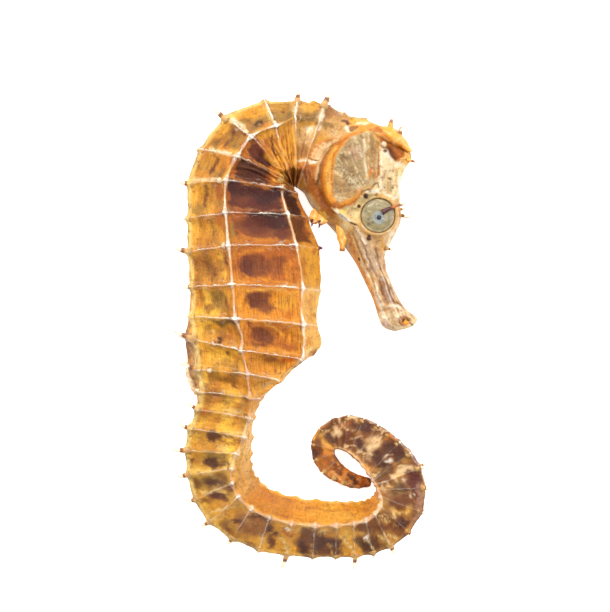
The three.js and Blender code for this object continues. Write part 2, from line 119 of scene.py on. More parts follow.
# Half width, height of the middle plane over the floor, and roll of the section in degrees.
BUILD = np.array([
    [-12.7, 1.1, 4.6, 0],
    [-12.2, 1.75, 4.6, 0],
    [-11.6, 1.95, 4.6, 0],
    [-10, 1.75, 4.6, 0],
    [-9, 1.8, 4.6, 0],
    [-8, 2.3, 4.65, 0],
    [-7, 3.3, 4.7, 0],
    [-6, 4.1, 4.7, 0],
    [-4, 4.8, 4.8, 0],
    [-2, 4.3, 5.1, 0],
    [1, 4.3, 5.7, 0],
    [3, 5.2, 6.2, 0],
    [5, 6.0, 6.6, 0],
    [7, 6.5, 6.7, 0],
    [9, 6.6, 6.7, 0],
    [11, 5.7, 6.6, 0],
    [13, 4.6, 6.0, 0],
    [15, 4.3, 5.2, 8],
    [18, 4.4, 4.5, 32],
    [20.3, 4.2, 4.35, 38],
    [24.6, 3.8, 4.1, 36],
    [27.5, 3.5, 3.7, 20],
    [30, 3.4, 3.4, 0],
    [34.6, 3.0, 3.0, 0],
    [38.8, 1.9, 1.9, 0],
    [43.5, 1.35, 1.3, 0],
    [47.2, 0.5, 0.55, 0],
])

# Where the ridges run round half a section, as shares of half depth (back -1, belly +1) and half
# width: upper, side and lower ridge. Last: how round the faces between them are.
RIDGES = np.array([
    [-12.7, -0.87, 0.5, 0.0, 1.0, 0.87, 0.5, 1.0],
    [-8, -0.87, 0.5, 0.0, 1.0, 0.87, 0.5, 1.0],
    [-6, -0.92, 0.42, -0.1, 1.0, 0.72, 0.7, 0.9],
    [-4, -0.93, 0.34, -0.05, 1.0, 0.7, 0.85, 0.9],
    [-1, -0.96, 0.3, -0.35, 0.95, 0.6, 0.85, 0.7],
    [1, -0.97, 0.32, -0.6, 0.85, 0.55, 0.85, 0.3],
    [4, -0.98, 0.4, -0.38, 1.0, 0.6, 0.72, 0.0],
    [7, -0.98, 0.45, -0.33, 1.0, 0.66, 0.62, 0.0],
    [10, -0.95, 0.52, -0.28, 1.0, 0.68, 0.62, 0.0],
    [12, -0.76, 0.76, 0.25, 0.96, 0.9, 0.5, 0.0],
    [14, -0.88, 0.86, 0.88, 0.86, 0.98, 0.4, 0.0],
    [30, -0.92, 0.88, 0.92, 0.88, 0.97, 0.4, 0.0],
    [40, -0.88, 0.8, 0.88, 0.8, 0.97, 0.4, 0.5],
    [47.2, -0.8, 0.7, 0.8, 0.7, 0.95, 0.4, 1.0],
])

# Where ring lines cross the side ridge and the lower ridge: ring, x, y.
SIDE_NODES = np.array([
    [2, -1.0, 32.9], [3, -3.9, 31.7], [4, -7.5, 30.2], [5, -9.7, 27.4], [6, -11.6, 23.8], [7, -12.0, 19.0],
    [8, -11.5, 13.2], [9, -10.9, 7.1], [10, -10.4, 1.7], [11, -9.6, -3.4], [12, -8.6, -6.9],
    [13, -8.2, -10.8],
])
LOWER_NODES = np.array([
    [5, -3.6, 24.0], [6, -3.3, 22.3], [7, -2.6, 18.6], [8, -1.1, 13.2], [9, 0.0, 6.5], [10, 0.1, 0.8],
    [10.35, 0.2, -1.1], [10.7, 0.1, -3.0], [11, -0.1, -4.7], [12, -3.6, -8.0],
])

# The outline of nape, crown and brow, which stands out past the plain head.
CREST = [
    (4.4, 35.0), (6.3, 34.0), (7.2, 33.4), (8.2, 33.1), (9.8, 33.2), (11.0, 32.5), (12.4, 31.9), (14.0, 31.6),
    (15.2, 31.0), (16.1, 29.8), (16.9, 28.5), (17.5, 27.4), (17.3, 26.3), (16.4, 25.3), (15.8, 23.6),
    (15.3, 21.5), (15.2, 19.8), (15.8, 18.2), (15.7, 16.6), (14.8, 14.8), (13.9, 13.0), (13.1, 11.2),
    (13.5, 9.3),
]

# How far the upper spines of rings 1, 2, 3 ... stand out, in mm.
UPPER_SPINES = (
    1.9, 1.6, 0.9, 1.9, 0.7, 1.4, 0.6, 1.6, 0.8, 0.8, 2.8, 2.6, 0.7, 1.2, 1.3, 1.8, 1.4, 1.0, 1.4, 0.9,
    0.5, 1.5, 0.5, 0.4, 1.4, 0.5, 1.1, 0.7, 0.5, 0.7, 0.9, 0.3, 0.3,
)

# Above this height, in mm, the painted clouds are one flat sheet; below it they change with depth too.
FLANK_TOP = 9.0

# How far the plain body is drawn in from its outline on each side, in mm, by station.
DRAWN_IN = np.array([[1, 0], [3, 0.07], [36, 0.07], [40, -0.06]])

# Width and rise of the lines that stand out from the skin, in mm.
RING_WIDTH, RING_RISE = 0.34, 0.17
RIDGE_WIDTH, RIDGE_RISE = 0.36, 0.20
NODE_WIDTH, NODE_RISE = 0.75, 0.34

# How deep the plates sink between the lines, in mm, on the trunk and on the tail.
TRUNK_SINK, TAIL_SINK = 0.62, 0.26

NOISE_SIZE = 4096              # numbers in a table of noise along a line
CLOUD_SIZE = 128               # numbers each way in a sheet of clouds
CLOUD_SHEETS = 16


# ---- Plain functions ------------------------------------------------------------------------


def smooth(low: float, high: float, value: Array) -> Array:
    """Rises smoothly from 0 at low to 1 at high, or falls where low is the larger.

    Args:
        low: where it is 0.
        high: where it is 1.
        value: the values to look up.

    Returns:
        The steps, between 0 and 1.
    """
    t = np.clip((np.asarray(value, float) - low) / (high - low), 0, 1)
    return t * t * (3 - 2 * t)


def window(first: float, last: float, edge: float, value: Array) -> Array:
    """1 between first and last, falling to 0 over edge outside them."""
    return smooth(first - edge, first, value) * smooth(last + edge, last, value)


def bell(distance: Array, width: float | Array) -> Array:
    """A bell curve of a distance, 1 at 0 and 0.37 at width."""
    return np.exp(-np.square(distance / width))


def natural_spline(rows: Array, at: Array) -> Array:
    """The natural cubic spline through rows of [station, value, ...].

    Args:
        rows: the rows, with rising stations.
        at: stations to look up.

    Returns:
        One row of values for each station.
    """
    x, y = rows[:, 0], rows[:, 1:]
    span = np.diff(x)
    count = len(x)
    matrix = np.eye(count)
    right = np.zeros_like(y)
    for i in range(1, count - 1):
        matrix[i, i - 1:i + 2] = span[i - 1], 2 * (span[i - 1] + span[i]), span[i]
        right[i] = 6 * ((y[i + 1] - y[i]) / span[i] - (y[i] - y[i - 1]) / span[i - 1])
    bend = np.linalg.solve(matrix, right)
    at = np.atleast_1d(np.asarray(at, float))
    i = np.clip(np.searchsorted(x, at) - 1, 0, count - 2)
    b = ((at - x[i]) / span[i])[:, None]
    a = 1 - b
    curve = (a**3 - a) * bend[i] + (b**3 - b) * bend[i + 1]
    return a * y[i] + b * y[i + 1] + curve * span[i][:, None] ** 2 / 6


def straight(rows: Array, at: Array) -> Array:
    """Straight lines through rows of [station, value, ...], looked up at stations."""
    return np.stack([np.interp(at, rows[:, 0], column) for column in rows[:, 1:].T], -1)


def unit(vectors: Array) -> Array:
    """Vectors scaled to a length of 1."""
    return vectors / np.maximum(np.linalg.norm(vectors, axis=-1, keepdims=True), 1e-12)


def line_distance(x: Array, y: Array, points: Line) -> tuple[Array, Array]:
    """How far points of the drawing are from a bent line.

    Args:
        x: their X, in mm.
        y: their Y.
        points: the line's corners.

    Returns:
        The distance, and the share of the line's length at the nearest place.
    """
    best = np.full(np.broadcast(x, y).shape, 1e9)
    share = np.zeros_like(best)
    corners = np.asarray(points, float)
    lengths = np.linalg.norm(np.diff(corners, axis=0), axis=1)
    total = lengths.sum()
    start = 0.0
    for p, q, length in zip(corners[:-1], corners[1:], lengths):
        t = np.clip(((x - p[0]) * (q[0] - p[0]) + (y - p[1]) * (q[1] - p[1])) / length**2, 0, 1)
        distance = np.hypot(x - p[0] - t * (q[0] - p[0]), y - p[1] - t * (q[1] - p[1]))
        nearer = distance < best
        best = np.where(nearer, distance, best)
        share = np.where(nearer, (start + t * length) / total, share)
        start += length
    return best, share


def stroke(x: Array, y: Array, points: Line, width: float) -> Array:
    """A soft line of the drawing, 1 along the middle, that thins out at its two ends."""
    distance, share = line_distance(x, y, points)
    return bell(distance, width) * smooth(-0.02, 0.12, share) * smooth(1.02, 0.88, share)


def spot(x: Array, y: Array, at: tuple[float, float], radii: tuple[float, float], turn: float = 0.0) -> Array:
    """A soft oval of the drawing, 1 inside and 0 from 1.3 times its radii.

    Args:
        x: X of the points, in mm.
        y: Y of the points.
        at: the oval's middle.
        radii: its two radii.
        turn: degrees that the first radius is turned from X.

    Returns:
        The mask.
    """
    c, s = math.cos(math.radians(turn)), math.sin(math.radians(turn))
    u = ((x - at[0]) * c + (y - at[1]) * s) / radii[0]
    v = ((y - at[1]) * c - (x - at[0]) * s) / radii[1]
    return smooth(1.3, 0.7, np.hypot(u, v))


def inside(x: Array, y: Array, corners: Line, edge: float) -> Array:
    """A soft polygon of the drawing: 1 inside, 0 outside, over an edge of a given width in mm.

    Args:
        x: X of the points, in mm.
        y: Y of the points.
        corners: the polygon's corners.
        edge: how wide its soft edge is.

    Returns:
        The mask.
    """
    within = np.zeros(np.broadcast(x, y).shape, bool)
    for (x0, y0), (x1, y1) in zip(corners, [*corners[1:], corners[0]]):
        if y0 == y1:
            continue
        crosses = (y0 > y) != (y1 > y)
        within ^= crosses & (x < (x1 - x0) * (y - y0) / (y1 - y0) + x0)
    distance, _ = line_distance(x, y, [*corners, corners[0]])
    return smooth(-edge, edge, np.where(within, distance, -distance))


def uneven(at: Array, seed: int, pitch: float = 1.0) -> Array:
    """Smooth one-dimensional noise between -1 and 1.

    Args:
        at: where to look it up.
        seed: which noise.
        pitch: the length of a bump.

    Returns:
        The noise.
    """
    table = np.random.default_rng(seed).uniform(-1, 1, NOISE_SIZE)
    t = np.asarray(at, float) / pitch + 1000
    i = np.floor(t).astype(int)
    f = smooth(0, 1, t - i)
    return table[i % NOISE_SIZE] * (1 - f) + table[(i + 1) % NOISE_SIZE] * f


def cloud(x: Array, y: Array, seed: int, pitch: float = 1.0, deep: Array | float = 0.0) -> Array:
    """Smooth noise between -1 and 1, with features about pitch across, in sheets stacked in depth.

    Args:
        x: where to look it up.
        y: the same, the other way.
        seed: which noise.
        pitch: the size of its features.
        deep: depth of the points.

    Returns:
        The noise.
    """
    table = np.random.default_rng(seed).uniform(-1, 1, (CLOUD_SHEETS, CLOUD_SIZE, CLOUD_SIZE))
    u, v = np.asarray(x, float) / pitch + 64, np.asarray(y, float) / pitch + 64
    w = np.asarray(deep, float) / pitch
    i, j, k = (np.floor(each).astype(int) for each in (u, v, w))
    f, g, h = smooth(0, 1, u - i), smooth(0, 1, v - j), smooth(0, 1, w - k)
    i, ahead, j, above = (each % CLOUD_SIZE for each in (i, i + 1, j, j + 1))
    total = 0.0
    for sheet, weight in ((k % CLOUD_SHEETS, 1 - h), ((k + 1) % CLOUD_SHEETS, h)):
        low = table[sheet, i, j] * (1 - f) + table[sheet, ahead, j] * f
        high = table[sheet, i, above] * (1 - f) + table[sheet, ahead, above] * f
        total = total + (low * (1 - g) + high * g) * weight
    return total


# ---- Colours and marks ----------------------------------------------------------------------


Colour = tuple[float, float, float]


def shade(red: int, green: int, blue: int) -> Colour:
    """A colour from its 0 to 255 values, as linear light."""
    parts = [(value / 255 + 0.055) / 1.055 for value in (red, green, blue)]
    return tuple(max(part, 0.055) ** 2.4 for part in parts)


GOLD, AMBER, OCHRE, HONEY = shade(226, 166, 70), shade(208, 144, 66), shade(194, 146, 80), shade(240, 182, 92)
OLIVE, MOSS, ORANGE, FLAME = shade(160, 124, 70), shade(128, 96, 56), shade(224, 150, 54), shade(216, 122, 14)
PEACH, CREAM, PINK, BONE = (shade(240, 184, 116), shade(242, 214, 170), shade(228, 190, 164),
                            shade(248, 236, 216))
RUST, MAUVE, WINE, PURPLE = shade(184, 106, 42), shade(138, 78, 52), shade(104, 48, 42), shade(72, 28, 34)
BROWN, UMBER, BLACK, GREY = shade(120, 68, 36), shade(92, 50, 34), shade(36, 16, 12), shade(176, 150, 118)
YELLOW, LEMON, LILAC, SAND = (shade(253, 204, 104), shade(255, 190, 60), shade(190, 150, 138),
                              shade(214, 170, 118))


class Kind(Enum):
    """The shape of a mark."""

    AREA = "a soft polygon"
    LINE = "a soft bent line"
    SPOT = "a soft oval"


AREA, LINE, SPOT = Kind.AREA, Kind.LINE, Kind.SPOT


def mark_mask(kind: Kind, size: Any, points: Line, x: Array, y: Array,
              soft: float = 0.6) -> Array:
    """How strongly a mark covers points of the drawing.

    Args:
        kind: its shape.
        size: a polygon's edge, a line's width, or an oval's two radii and turn.
        points: its corners, or its middle.
        x: X of the points, in mm.
        y: Y of the points.
        soft: how much of a polygon's edge fades.

    Returns:
        The cover, between 0 and 1.
    """
    if kind is Kind.AREA:
        return inside(x, y, points, size * soft)
    if kind is Kind.LINE:
        return stroke(x, y, points, size)
    return spot(x, y, points[0], size[:2], size[2])


def lay_marks(tint: Array, marks: Sequence[tuple], where: Array, x: Array, y: Array,
              soft: float = 0.6) -> None:
    """Paints marks into the colours of a grid of points, those of each over those before it.

    Args:
        tint: the colours, which are changed.
        marks: shape, colour, strength, size and places of each.
        where: how much each point takes of them.
        x: X of the points, in mm.
        y: Y of the points.
        soft: how much of a polygon's edge fades.
    """
    for kind, colour, strength, size, places in marks:
        corners = np.array(places)
        reach = (max(size[:2]) * 1.4 if kind is SPOT else size * 2.2) + 0.05
        low, high = corners.min(0) - reach, corners.max(0) + reach
        near = np.nonzero((where > 0.01) & (x > low[0]) & (x < high[0]) & (y > low[1]) & (y < high[1]))
        cover = mark_mask(kind, size, places, x[near], y[near], soft) * where[near] * strength
        tint[near] += (np.array(colour) - tint[near]) * cover[:, None]


def blend_in(tint: Array, layers: Sequence[tuple[tuple, Array]]) -> None:
    """Lays colours over those of a grid of points, one after another.

    Args:
        tint: the colours, which are changed.
        layers: each colour and how much it covers.
    """
    for colour, cover in layers:
        tint += (np.array(colour) - tint) * cover[..., None]


# Marks, each laid over those before it: shape, colour, strength, size, places.
TRUNK_MARKS = (
    # Neck and upper back.
    (SPOT, OCHRE, 0.7, (1.6, 0.9, 0), [(-3.0, 35.1)]),
    (SPOT, OLIVE, 0.6, (1.7, 0.8, 0), [(-3.2, 33.3)]),
    (SPOT, OCHRE, 0.7, (3.4, 1.6, 12), [(-5.0, 34.2)]),
    (SPOT, OLIVE, 0.7, (2.6, 0.9, 5), [(-3.6, 33.3)]),
    (SPOT, OLIVE, 0.7, (2.2, 1.2, 0), [(0.8, 33.6)]),
    (SPOT, MAUVE, 0.9, (0.5, 0.16, 0), [(-3.1, 34.3)]),
    (SPOT, OLIVE, 0.8, (1.5, 0.6, 10), [(0.9, 32.9)]),
    (SPOT, HONEY, 0.6, (1.6, 0.8, 0), [(1.4, 34.9)]),
    (SPOT, OLIVE, 0.6, (1.6, 1.2, 0), [(3.6, 32.2)]),
    (AREA, SAND, 0.75, 0.4, [(-0.9, 32.2), (2.4, 31.6), (1.8, 28.6), (1.2, 26.8), (-0.6, 26.8),
        (-1.1, 29.4)]),
    (SPOT, PINK, 0.6, (1.2, 1.3, 20), [(0.6, 30.0)]),
    (SPOT, CREAM, 0.7, (0.9, 0.8, 0), [(1.6, 31.0)]),
    (SPOT, MAUVE, 0.5, (0.9, 1.0, 0), [(0.2, 27.9)]),
    (LINE, OLIVE, 0.6, 0.25, [(-0.6, 31.2), (0.4, 29.6), (0.6, 28.2)]),
    (SPOT, SAND, 0.6, (2.2, 1.6, 10), [(4.6, 31.4)]),
    (LINE, BONE, 0.8, 0.28, [(3.4, 33.6), (2.9, 32.6), (2.5, 30.6)]),
    (LINE, MOSS, 0.8, 0.22, [(-0.2, 32.4), (1.4, 32.7), (2.4, 33.0)]),
    (LINE, MOSS, 0.8, 0.25, [(3.2, 31.8), (4.4, 32.0), (5.0, 31.6)]),
    (SPOT, BONE, 0.6, (0.7, 0.5, 0), [(1.2, 31.2)]),
    (LINE, OLIVE, 0.7, 0.3, [(2.9, 32.6), (3.4, 31.6), (5.4, 31.7)]),
    (SPOT, WINE, 0.9, (0.75, 0.32, -12), [(6.8, 32.4)]),
    (LINE, BONE, 0.9, 0.3, [(7.2, 31.8), (7.1, 30.9)]),
    (SPOT, MAUVE, 0.6, (0.8, 0.4, 12), [(8.1, 31.4)]),
    (SPOT, GOLD, 0.9, (1.9, 0.9, 12), [(-7.4, 34.2)]),
    (SPOT, ORANGE, 0.5, (0.6, 0.9, 0), [(-8.4, 33.8)]),
    (SPOT, OLIVE, 0.6, (1.5, 0.5, 20), [(-8.9, 32.7)]),
    (LINE, BLACK, 1.0, 0.24, [(-7.5, 31.9), (-7.25, 32.4), (-6.8, 32.7), (-6.2, 32.65)]),
    (LINE, MAUVE, 0.6, 0.14, [(-6.4, 32.6), (-6.1, 32.0), (-6.3, 31.5)]),
    (SPOT, ORANGE, 0.7, (0.8, 0.6, 0), [(-5.5, 31.7)]),
    # The row along the back: a slanted dash in each ring.
    (SPOT, GOLD, 0.8, (1.0, 2.0, -45), [(-12.6, 31.4)]),
    (LINE, WINE, 0.95, 0.34, [(-10.5, 31.4), (-11.0, 30.2), (-12.3, 28.4)]),
    (SPOT, OLIVE, 0.6, (1.4, 1.3, 0), [(-10.4, 29.2)]),
    (SPOT, MOSS, 0.5, (0.6, 0.8, 0), [(-13.6, 29.0)]),
    (SPOT, RUST, 0.6, (0.8, 0.5, 30), [(-9.2, 28.7)]),
    (LINE, WINE, 0.95, 0.30, [(-13.2, 26.8), (-13.9, 25.6), (-14.7, 24.1)]),
    (SPOT, ORANGE, 0.6, (1.1, 1.0, 60), [(-12.0, 26.2)]),
    (SPOT, RUST, 0.85, (0.6, 0.9, -20), [(-10.6, 26.1)]),
    (SPOT, OCHRE, 0.7, (0.9, 1.4, -30), [(-15.4, 25.6)]),
    (LINE, UMBER, 0.85, 0.24, [(-15.1, 22.4), (-15.3, 20.9), (-15.6, 18.6)]),
    (SPOT, OLIVE, 0.7, (0.9, 0.9, 0), [(-16.5, 18.7)]),
    (SPOT, RUST, 0.8, (0.7, 1.7, 5), [(-12.9, 21.4)]),
    (LINE, BROWN, 0.6, 0.22, [(-14.2, 22.6), (-14.5, 19.6)]),
    (SPOT, HONEY, 0.7, (0.5, 2.2, 0), [(-17.0, 21.0)]),
    (SPOT, HONEY, 0.7, (0.7, 2.2, 0), [(-17.0, 15.2)]),
    (SPOT, RUST, 0.7, (0.8, 1.4, 0), [(-12.8, 17.0)]),
    (LINE, AMBER, 0.7, 0.3, [(-15.4, 17.0), (-15.6, 13.4)]),
    (LINE, OLIVE, 0.6, 0.3, [(-14.2, 17.2), (-13.9, 13.8)]),
    (SPOT, MAUVE, 0.95, (0.28, 0.95, 6), [(-11.9, 10.7)]),
    (SPOT, MAUVE, 0.4, (0.8, 1.2, 0), [(-12.8, 9.6)]),
    (SPOT, BROWN, 0.6, (0.22, 1.1, 0), [(-14.9, 9.4), (-11.7, 10.6)]),
    (LINE, WINE, 0.9, 0.22, [(-13.9, 9.2), (-14.0, 7.4)]),
    (LINE, MAUVE, 0.7, 0.14, [(-14.9, 10.4), (-15.1, 8.2)]),
    (SPOT, ORANGE, 0.6, (0.7, 0.5, 0), [(-17.2, 8.8)]),
    (SPOT, OLIVE, 0.85, (1.2, 1.5, 20), [(-13.4, 4.6)]),
    (LINE, BROWN, 0.9, 0.2, [(-11.9, 4.9), (-12.0, 3.0)]),
    (SPOT, BROWN, 0.6, (0.9, 0.7, 0), [(-14.8, 3.0)]),
    (SPOT, MAUVE, 0.5, (0.5, 1.6, 0), [(-17.5, 4.0)]),
    (AREA, MOSS, 0.85, 0.4, [(-14.6, 1.2), (-10.2, 1.3), (-9.9, 0.4), (-11.4, 0.6), (-12.8, 0.0),
        (-13.8, 0.9)]),
    (LINE, RUST, 0.9, 0.35, [(-11.8, 0.2), (-11.3, -1.0), (-11.5, -2.3)]),
    (SPOT, UMBER, 1.0, (0.42, 0.5, 0), [(-12.9, -1.9)]),
    (LINE, CREAM, 0.7, 0.14, [(-14.2, -0.2), (-14.1, -1.6)]),
    (SPOT, GOLD, 0.7, (0.5, 0.6, 0), [(-13.9, -1.6)]),
    (AREA, MAUVE, 0.55, 0.5, [(-18.0, -2.4), (-16.4, -2.6), (-15.7, -4.4), (-16.0, -5.6), (-18.0, -5.6)]),
    (SPOT, UMBER, 0.7, (0.5, 0.8, 0), [(-17.4, -3.2)]),
    (SPOT, UMBER, 0.8, (0.2, 0.6, 0), [(-16.2, -4.2)]),
    (AREA, MAUVE, 0.45, 0.3, [(-17.4, -6.2), (-15.7, -6.4), (-15.5, -8.6), (-16.0, -9.6), (-16.9, -7.8)]),
    (SPOT, BONE, 0.8, (0.6, 1.5, 25), [(-16.9, -8.2)]),
    (SPOT, BROWN, 0.8, (0.3, 0.35, 0), [(-11.7, -4.1)]),
    (SPOT, BROWN, 0.5, (0.9, 0.7, 0), [(-11.9, -5.6)]),
    (SPOT, UMBER, 0.7, (0.3, 0.4, 0), [(-10.6, -9.1)]),
    (SPOT, BROWN, 0.5, (1.4, 0.8, 0), [(-11.6, -8.2)]),
    # Broad pale ring lines over the neck.
    (LINE, BONE, 0.7, 0.26, [(3.4, 34.8), (2.6, 32.6)]),
    (LINE, BONE, 0.85, 0.36, [(-0.9, 35.0), (-1.0, 33.2)]),
    (LINE, CREAM, 0.8, 0.28, [(-5.8, 35.0), (-4.7, 32.3)]),
    (LINE, BONE, 0.85, 0.34, [(-11.2, 33.0), (-8.6, 31.0)]),
    (LINE, BONE, 0.8, 0.3, [(-14.7, 28.0), (-10.6, 27.3)]),
    (LINE, BONE, 0.7, 0.26, [(-17.4, 23.2), (-12.2, 23.3)]),
    # Dark plates of the chest.
    (AREA, WINE, 0.9, 0.35, [(-7.7, 29.4), (-6.6, 28.6), (-5.9, 27.0), (-4.6, 25.4), (-5.2, 25.1),
        (-7.2, 26.1), (-8.5, 27.0)]),
    (AREA, PURPLE, 0.7, 0.3, [(-6.6, 27.4), (-4.7, 25.7), (-4.9, 25.2), (-7.0, 26.2)]),
    (SPOT, RUST, 0.9, (0.7, 0.5, -20), [(-7.2, 29.1)]),
    (AREA, PURPLE, 0.84, 0.4, [(-9.6, 26.8), (-8.4, 26.2), (-6.8, 25.4), (-4.9, 24.5), (-4.7, 22.5),
        (-7.4, 22.5), (-10.2, 23.3), (-10.5, 25.0)]),
    (SPOT, PURPLE, 0.4, (1.6, 0.8, 10), [(-7.6, 24.4)]),
    (SPOT, RUST, 0.9, (0.6, 0.35, 20), [(-10.7, 24.3)]),
    (SPOT, RUST, 0.8, (0.5, 0.6, 0), [(-4.9, 23.6)]),
    (AREA, WINE, 1.0, 0.4, [(-11.4, 23.4), (-9.0, 22.6), (-7.6, 22.0), (-5.4, 21.8), (-3.6, 22.0),
        (-3.0, 18.4), (-6.0, 18.4), (-11.2, 18.9), (-11.6, 21.0)]),
    (SPOT, PURPLE, 0.9, (2.2, 1.2, 20), [(-5.2, 20.6)]),
    (SPOT, PURPLE, 0.8, (0.8, 1.2, 0), [(-10.8, 22.0)]),
    (SPOT, PURPLE, 0.6, (1.8, 1.0, 10), [(-8.2, 21.4)]),
    (SPOT, MAUVE, 0.5, (1.2, 0.7, 30), [(-9.2, 20.0)]),
    (SPOT, RUST, 0.7, (0.4, 0.9, 0), [(-11.5, 20.6)]),
    (AREA, MAUVE, 0.95, 0.4, [(-11.5, 18.6), (-3.0, 18.4), (-2.2, 16.4), (-1.4, 13.8), (-4.2, 13.8),
        (-8.4, 14.2), (-10.4, 14.6), (-11.0, 16.6)]),
    (SPOT, RUST, 0.8, (1.4, 0.7, -10), [(-9.9, 17.6)]),
    (AREA, PURPLE, 0.9, 0.6, [(-8.6, 18.1), (-3.2, 18.2), (-1.9, 15.6), (-3.4, 15.2), (-6.4, 16.0)]),
    (SPOT, WINE, 0.7, (2.2, 1.4, -20), [(-7.0, 16.2)]),
    (SPOT, WINE, 0.7, (0.9, 1.0, 0), [(-3.2, 14.7)]),
    (SPOT, OLIVE, 0.7, (0.5, 1.4, 0), [(-11.0, 15.0)]),
    (LINE, RUST, 0.7, 0.2, [(-10.3, 15.6), (-9.0, 14.2)]),
    (LINE, ORANGE, 0.4, 0.16, [(-9.6, 14.7), (-8.2, 14.0), (-5.6, 13.8), (-3.4, 13.9)]),
    # Rust plates of the belly.
    (AREA, RUST, 0.85, 0.5, [(-10.0, 12.4), (-2.2, 12.6), (-1.1, 12.2), (-0.8, 7.4), (-5.0, 6.9), (-9.6, 7.6),
        (-10.2, 10.0)]),
    (AREA, MAUVE, 0.9, 0.7, [(-9.4, 10.0), (-8.6, 11.3), (-6.4, 11.6), (-4.9, 10.4), (-4.6, 9.2), (-5.4, 7.9),
        (-9.3, 7.8)]),
    (SPOT, WINE, 0.7, (1.1, 1.8, -8), [(-8.6, 9.7)]),
    (SPOT, MAUVE, 0.6, (1.4, 1.4, 0), [(-3.6, 9.9)]),
    (AREA, RUST, 0.9, 0.3, [(-4.2, 12.6), (-1.3, 12.8), (-1.1, 10.9), (-2.4, 11.6)]),
    (SPOT, ORANGE, 0.5, (0.9, 1.6, 0), [(-1.9, 9.0)]),
    (LINE, ORANGE, 0.8, 0.2, [(-9.8, 8.6), (-8.6, 7.8), (-5.6, 7.6), (-1.6, 6.9)]),
    (LINE, ORANGE, 0.7, 0.25, [(-10.2, 11.4), (-7.4, 12.2), (-4.2, 12.6)]),
    (LINE, RUST, 0.6, 0.3, [(-9.4, 6.4), (-6.0, 6.5), (-1.0, 5.6)]),
    (AREA, ORANGE, 0.8, 0.4, [(-9.6, 5.2), (-6.0, 6.1), (-0.6, 5.0), (-0.3, 1.0), (-3.6, 1.4), (-9.4, 2.4)]),
    (AREA, MAUVE, 0.9, 0.6, [(-8.7, 5.0), (-6.6, 5.9), (-5.0, 5.7), (-4.7, 3.9), (-3.9, 2.8), (-5.2, 2.1),
        (-8.2, 3.1)]),
    (SPOT, WINE, 0.6, (1.2, 1.3, -20), [(-7.2, 4.4)]),
    (SPOT, GOLD, 0.8, (1.6, 1.2, 20), [(-2.4, 4.0)]),
    (SPOT, RUST, 0.7, (0.8, 0.6, 0), [(-2.0, 1.9)]),
    (LINE, HONEY, 0.8, 0.16, [(-9.5, 4.8), (-8.2, 5.7), (-6.0, 6.1), (-3.0, 5.9), (-0.8, 4.9)]),
    (LINE, PEACH, 0.7, 0.22, [(-10.0, 3.7), (-9.4, 3.6)]),
    (AREA, RUST, 0.7, 0.5, [(-8.8, 0.8), (-5.0, 0.9), (-0.6, 0.0), (-0.6, -3.8), (-5.0, -3.2), (-8.8, -2.8)]),
    (AREA, WINE, 0.75, 0.6, [(-7.7, -0.2), (-6.5, 0.3), (-5.0, -0.4), (-4.2, -1.6), (-4.6, -2.8),
        (-6.2, -2.5), (-8.0, -1.7)]),
    (SPOT, MAUVE, 0.8, (0.22, 0.75, 10), [(-8.3, 0.6)]),
    (SPOT, BROWN, 0.7, (1.2, 0.3, -10), [(-6.8, -2.7)]),
    (SPOT, ORANGE, 0.8, (1.2, 1.3, 0), [(-1.6, -1.4)]),
    (SPOT, RUST, 0.8, (1.0, 0.5, -10), [(-1.8, -3.2)]),
    (LINE, HONEY, 0.7, 0.16, [(-8.6, 1.3), (-6.0, 0.9), (-4.0, -0.2), (-2.8, -1.6)]),
    (SPOT, BROWN, 0.9, (0.14, 0.5, 8), [(-0.1, -0.3)]),
    (AREA, AMBER, 0.7, 0.4, [(-8.4, -4.2), (-4.6, -4.3), (-0.9, -5.0), (-3.8, -7.0), (-8.2, -6.8)]),
    (SPOT, MAUVE, 0.6, (1.1, 0.6, 10), [(-4.9, -5.0)]),
    (SPOT, FLAME, 0.95, (1.4, 0.6, 10), [(-2.2, -5.0)]),
    (SPOT, BROWN, 0.6, (0.3, 0.3, 0), [(-5.8, -4.3)]),
    (SPOT, PINK, 0.5, (0.9, 0.5, 30), [(-6.8, -8.0)]),
    (AREA, PEACH, 0.7, 0.5, [(-1.6, -6.4), (-4.4, -7.2), (-7.8, -9.2), (-7.6, -11.6), (-4.6, -9.8),
        (-2.0, -7.4)]),
    (LINE, PINK, 0.8, 0.3, [(-4.4, -8.2), (-6.2, -9.6)]),
    (LINE, MAUVE, 0.5, 0.14, [(-4.9, -7.8), (-6.8, -9.2)]),
    # The strip beside the keel.
    (AREA, PURPLE, 0.95, 0.25, [(-2.9, 22.0), (-1.8, 21.6), (-0.9, 20.2), (-0.2, 18.5), (-0.3, 17.5),
        (-1.9, 17.8), (-2.5, 19.2)]),
    (LINE, RUST, 0.9, 0.3, [(-1.4, 22.4), (-0.3, 20.0), (0.6, 17.8), (1.1, 16.0)]),
    (AREA, WINE, 0.85, 0.25, [(-2.0, 17.6), (-0.4, 17.5), (0.5, 17.0), (1.2, 15.2), (1.5, 13.4), (-0.7, 13.4),
        (-1.4, 15.2)]),
    (SPOT, RUST, 0.6, (0.5, 1.0, 10), [(1.0, 14.9)]),
    (AREA, GOLD, 0.9, 0.35, [(-0.5, 12.8), (2.6, 12.8), (3.4, 6.4), (0.2, 6.6)]),
    (LINE, ORANGE, 0.6, 0.3, [(0.2, 12.0), (0.9, 7.4)]),
    (SPOT, RUST, 0.8, (0.3, 0.35, 0), [(1.9, 12.0)]),
    (SPOT, RUST, 0.5, (0.5, 1.8, 5), [(0.5, 9.6)]),
    (AREA, PEACH, 0.9, 0.4, [(0.0, 6.2), (3.6, 6.2), (2.9, -0.6), (0.1, -0.4)]),
    (LINE, CREAM, 0.7, 0.3, [(2.9, 6.0), (2.6, 3.0), (2.5, 0.0)]),
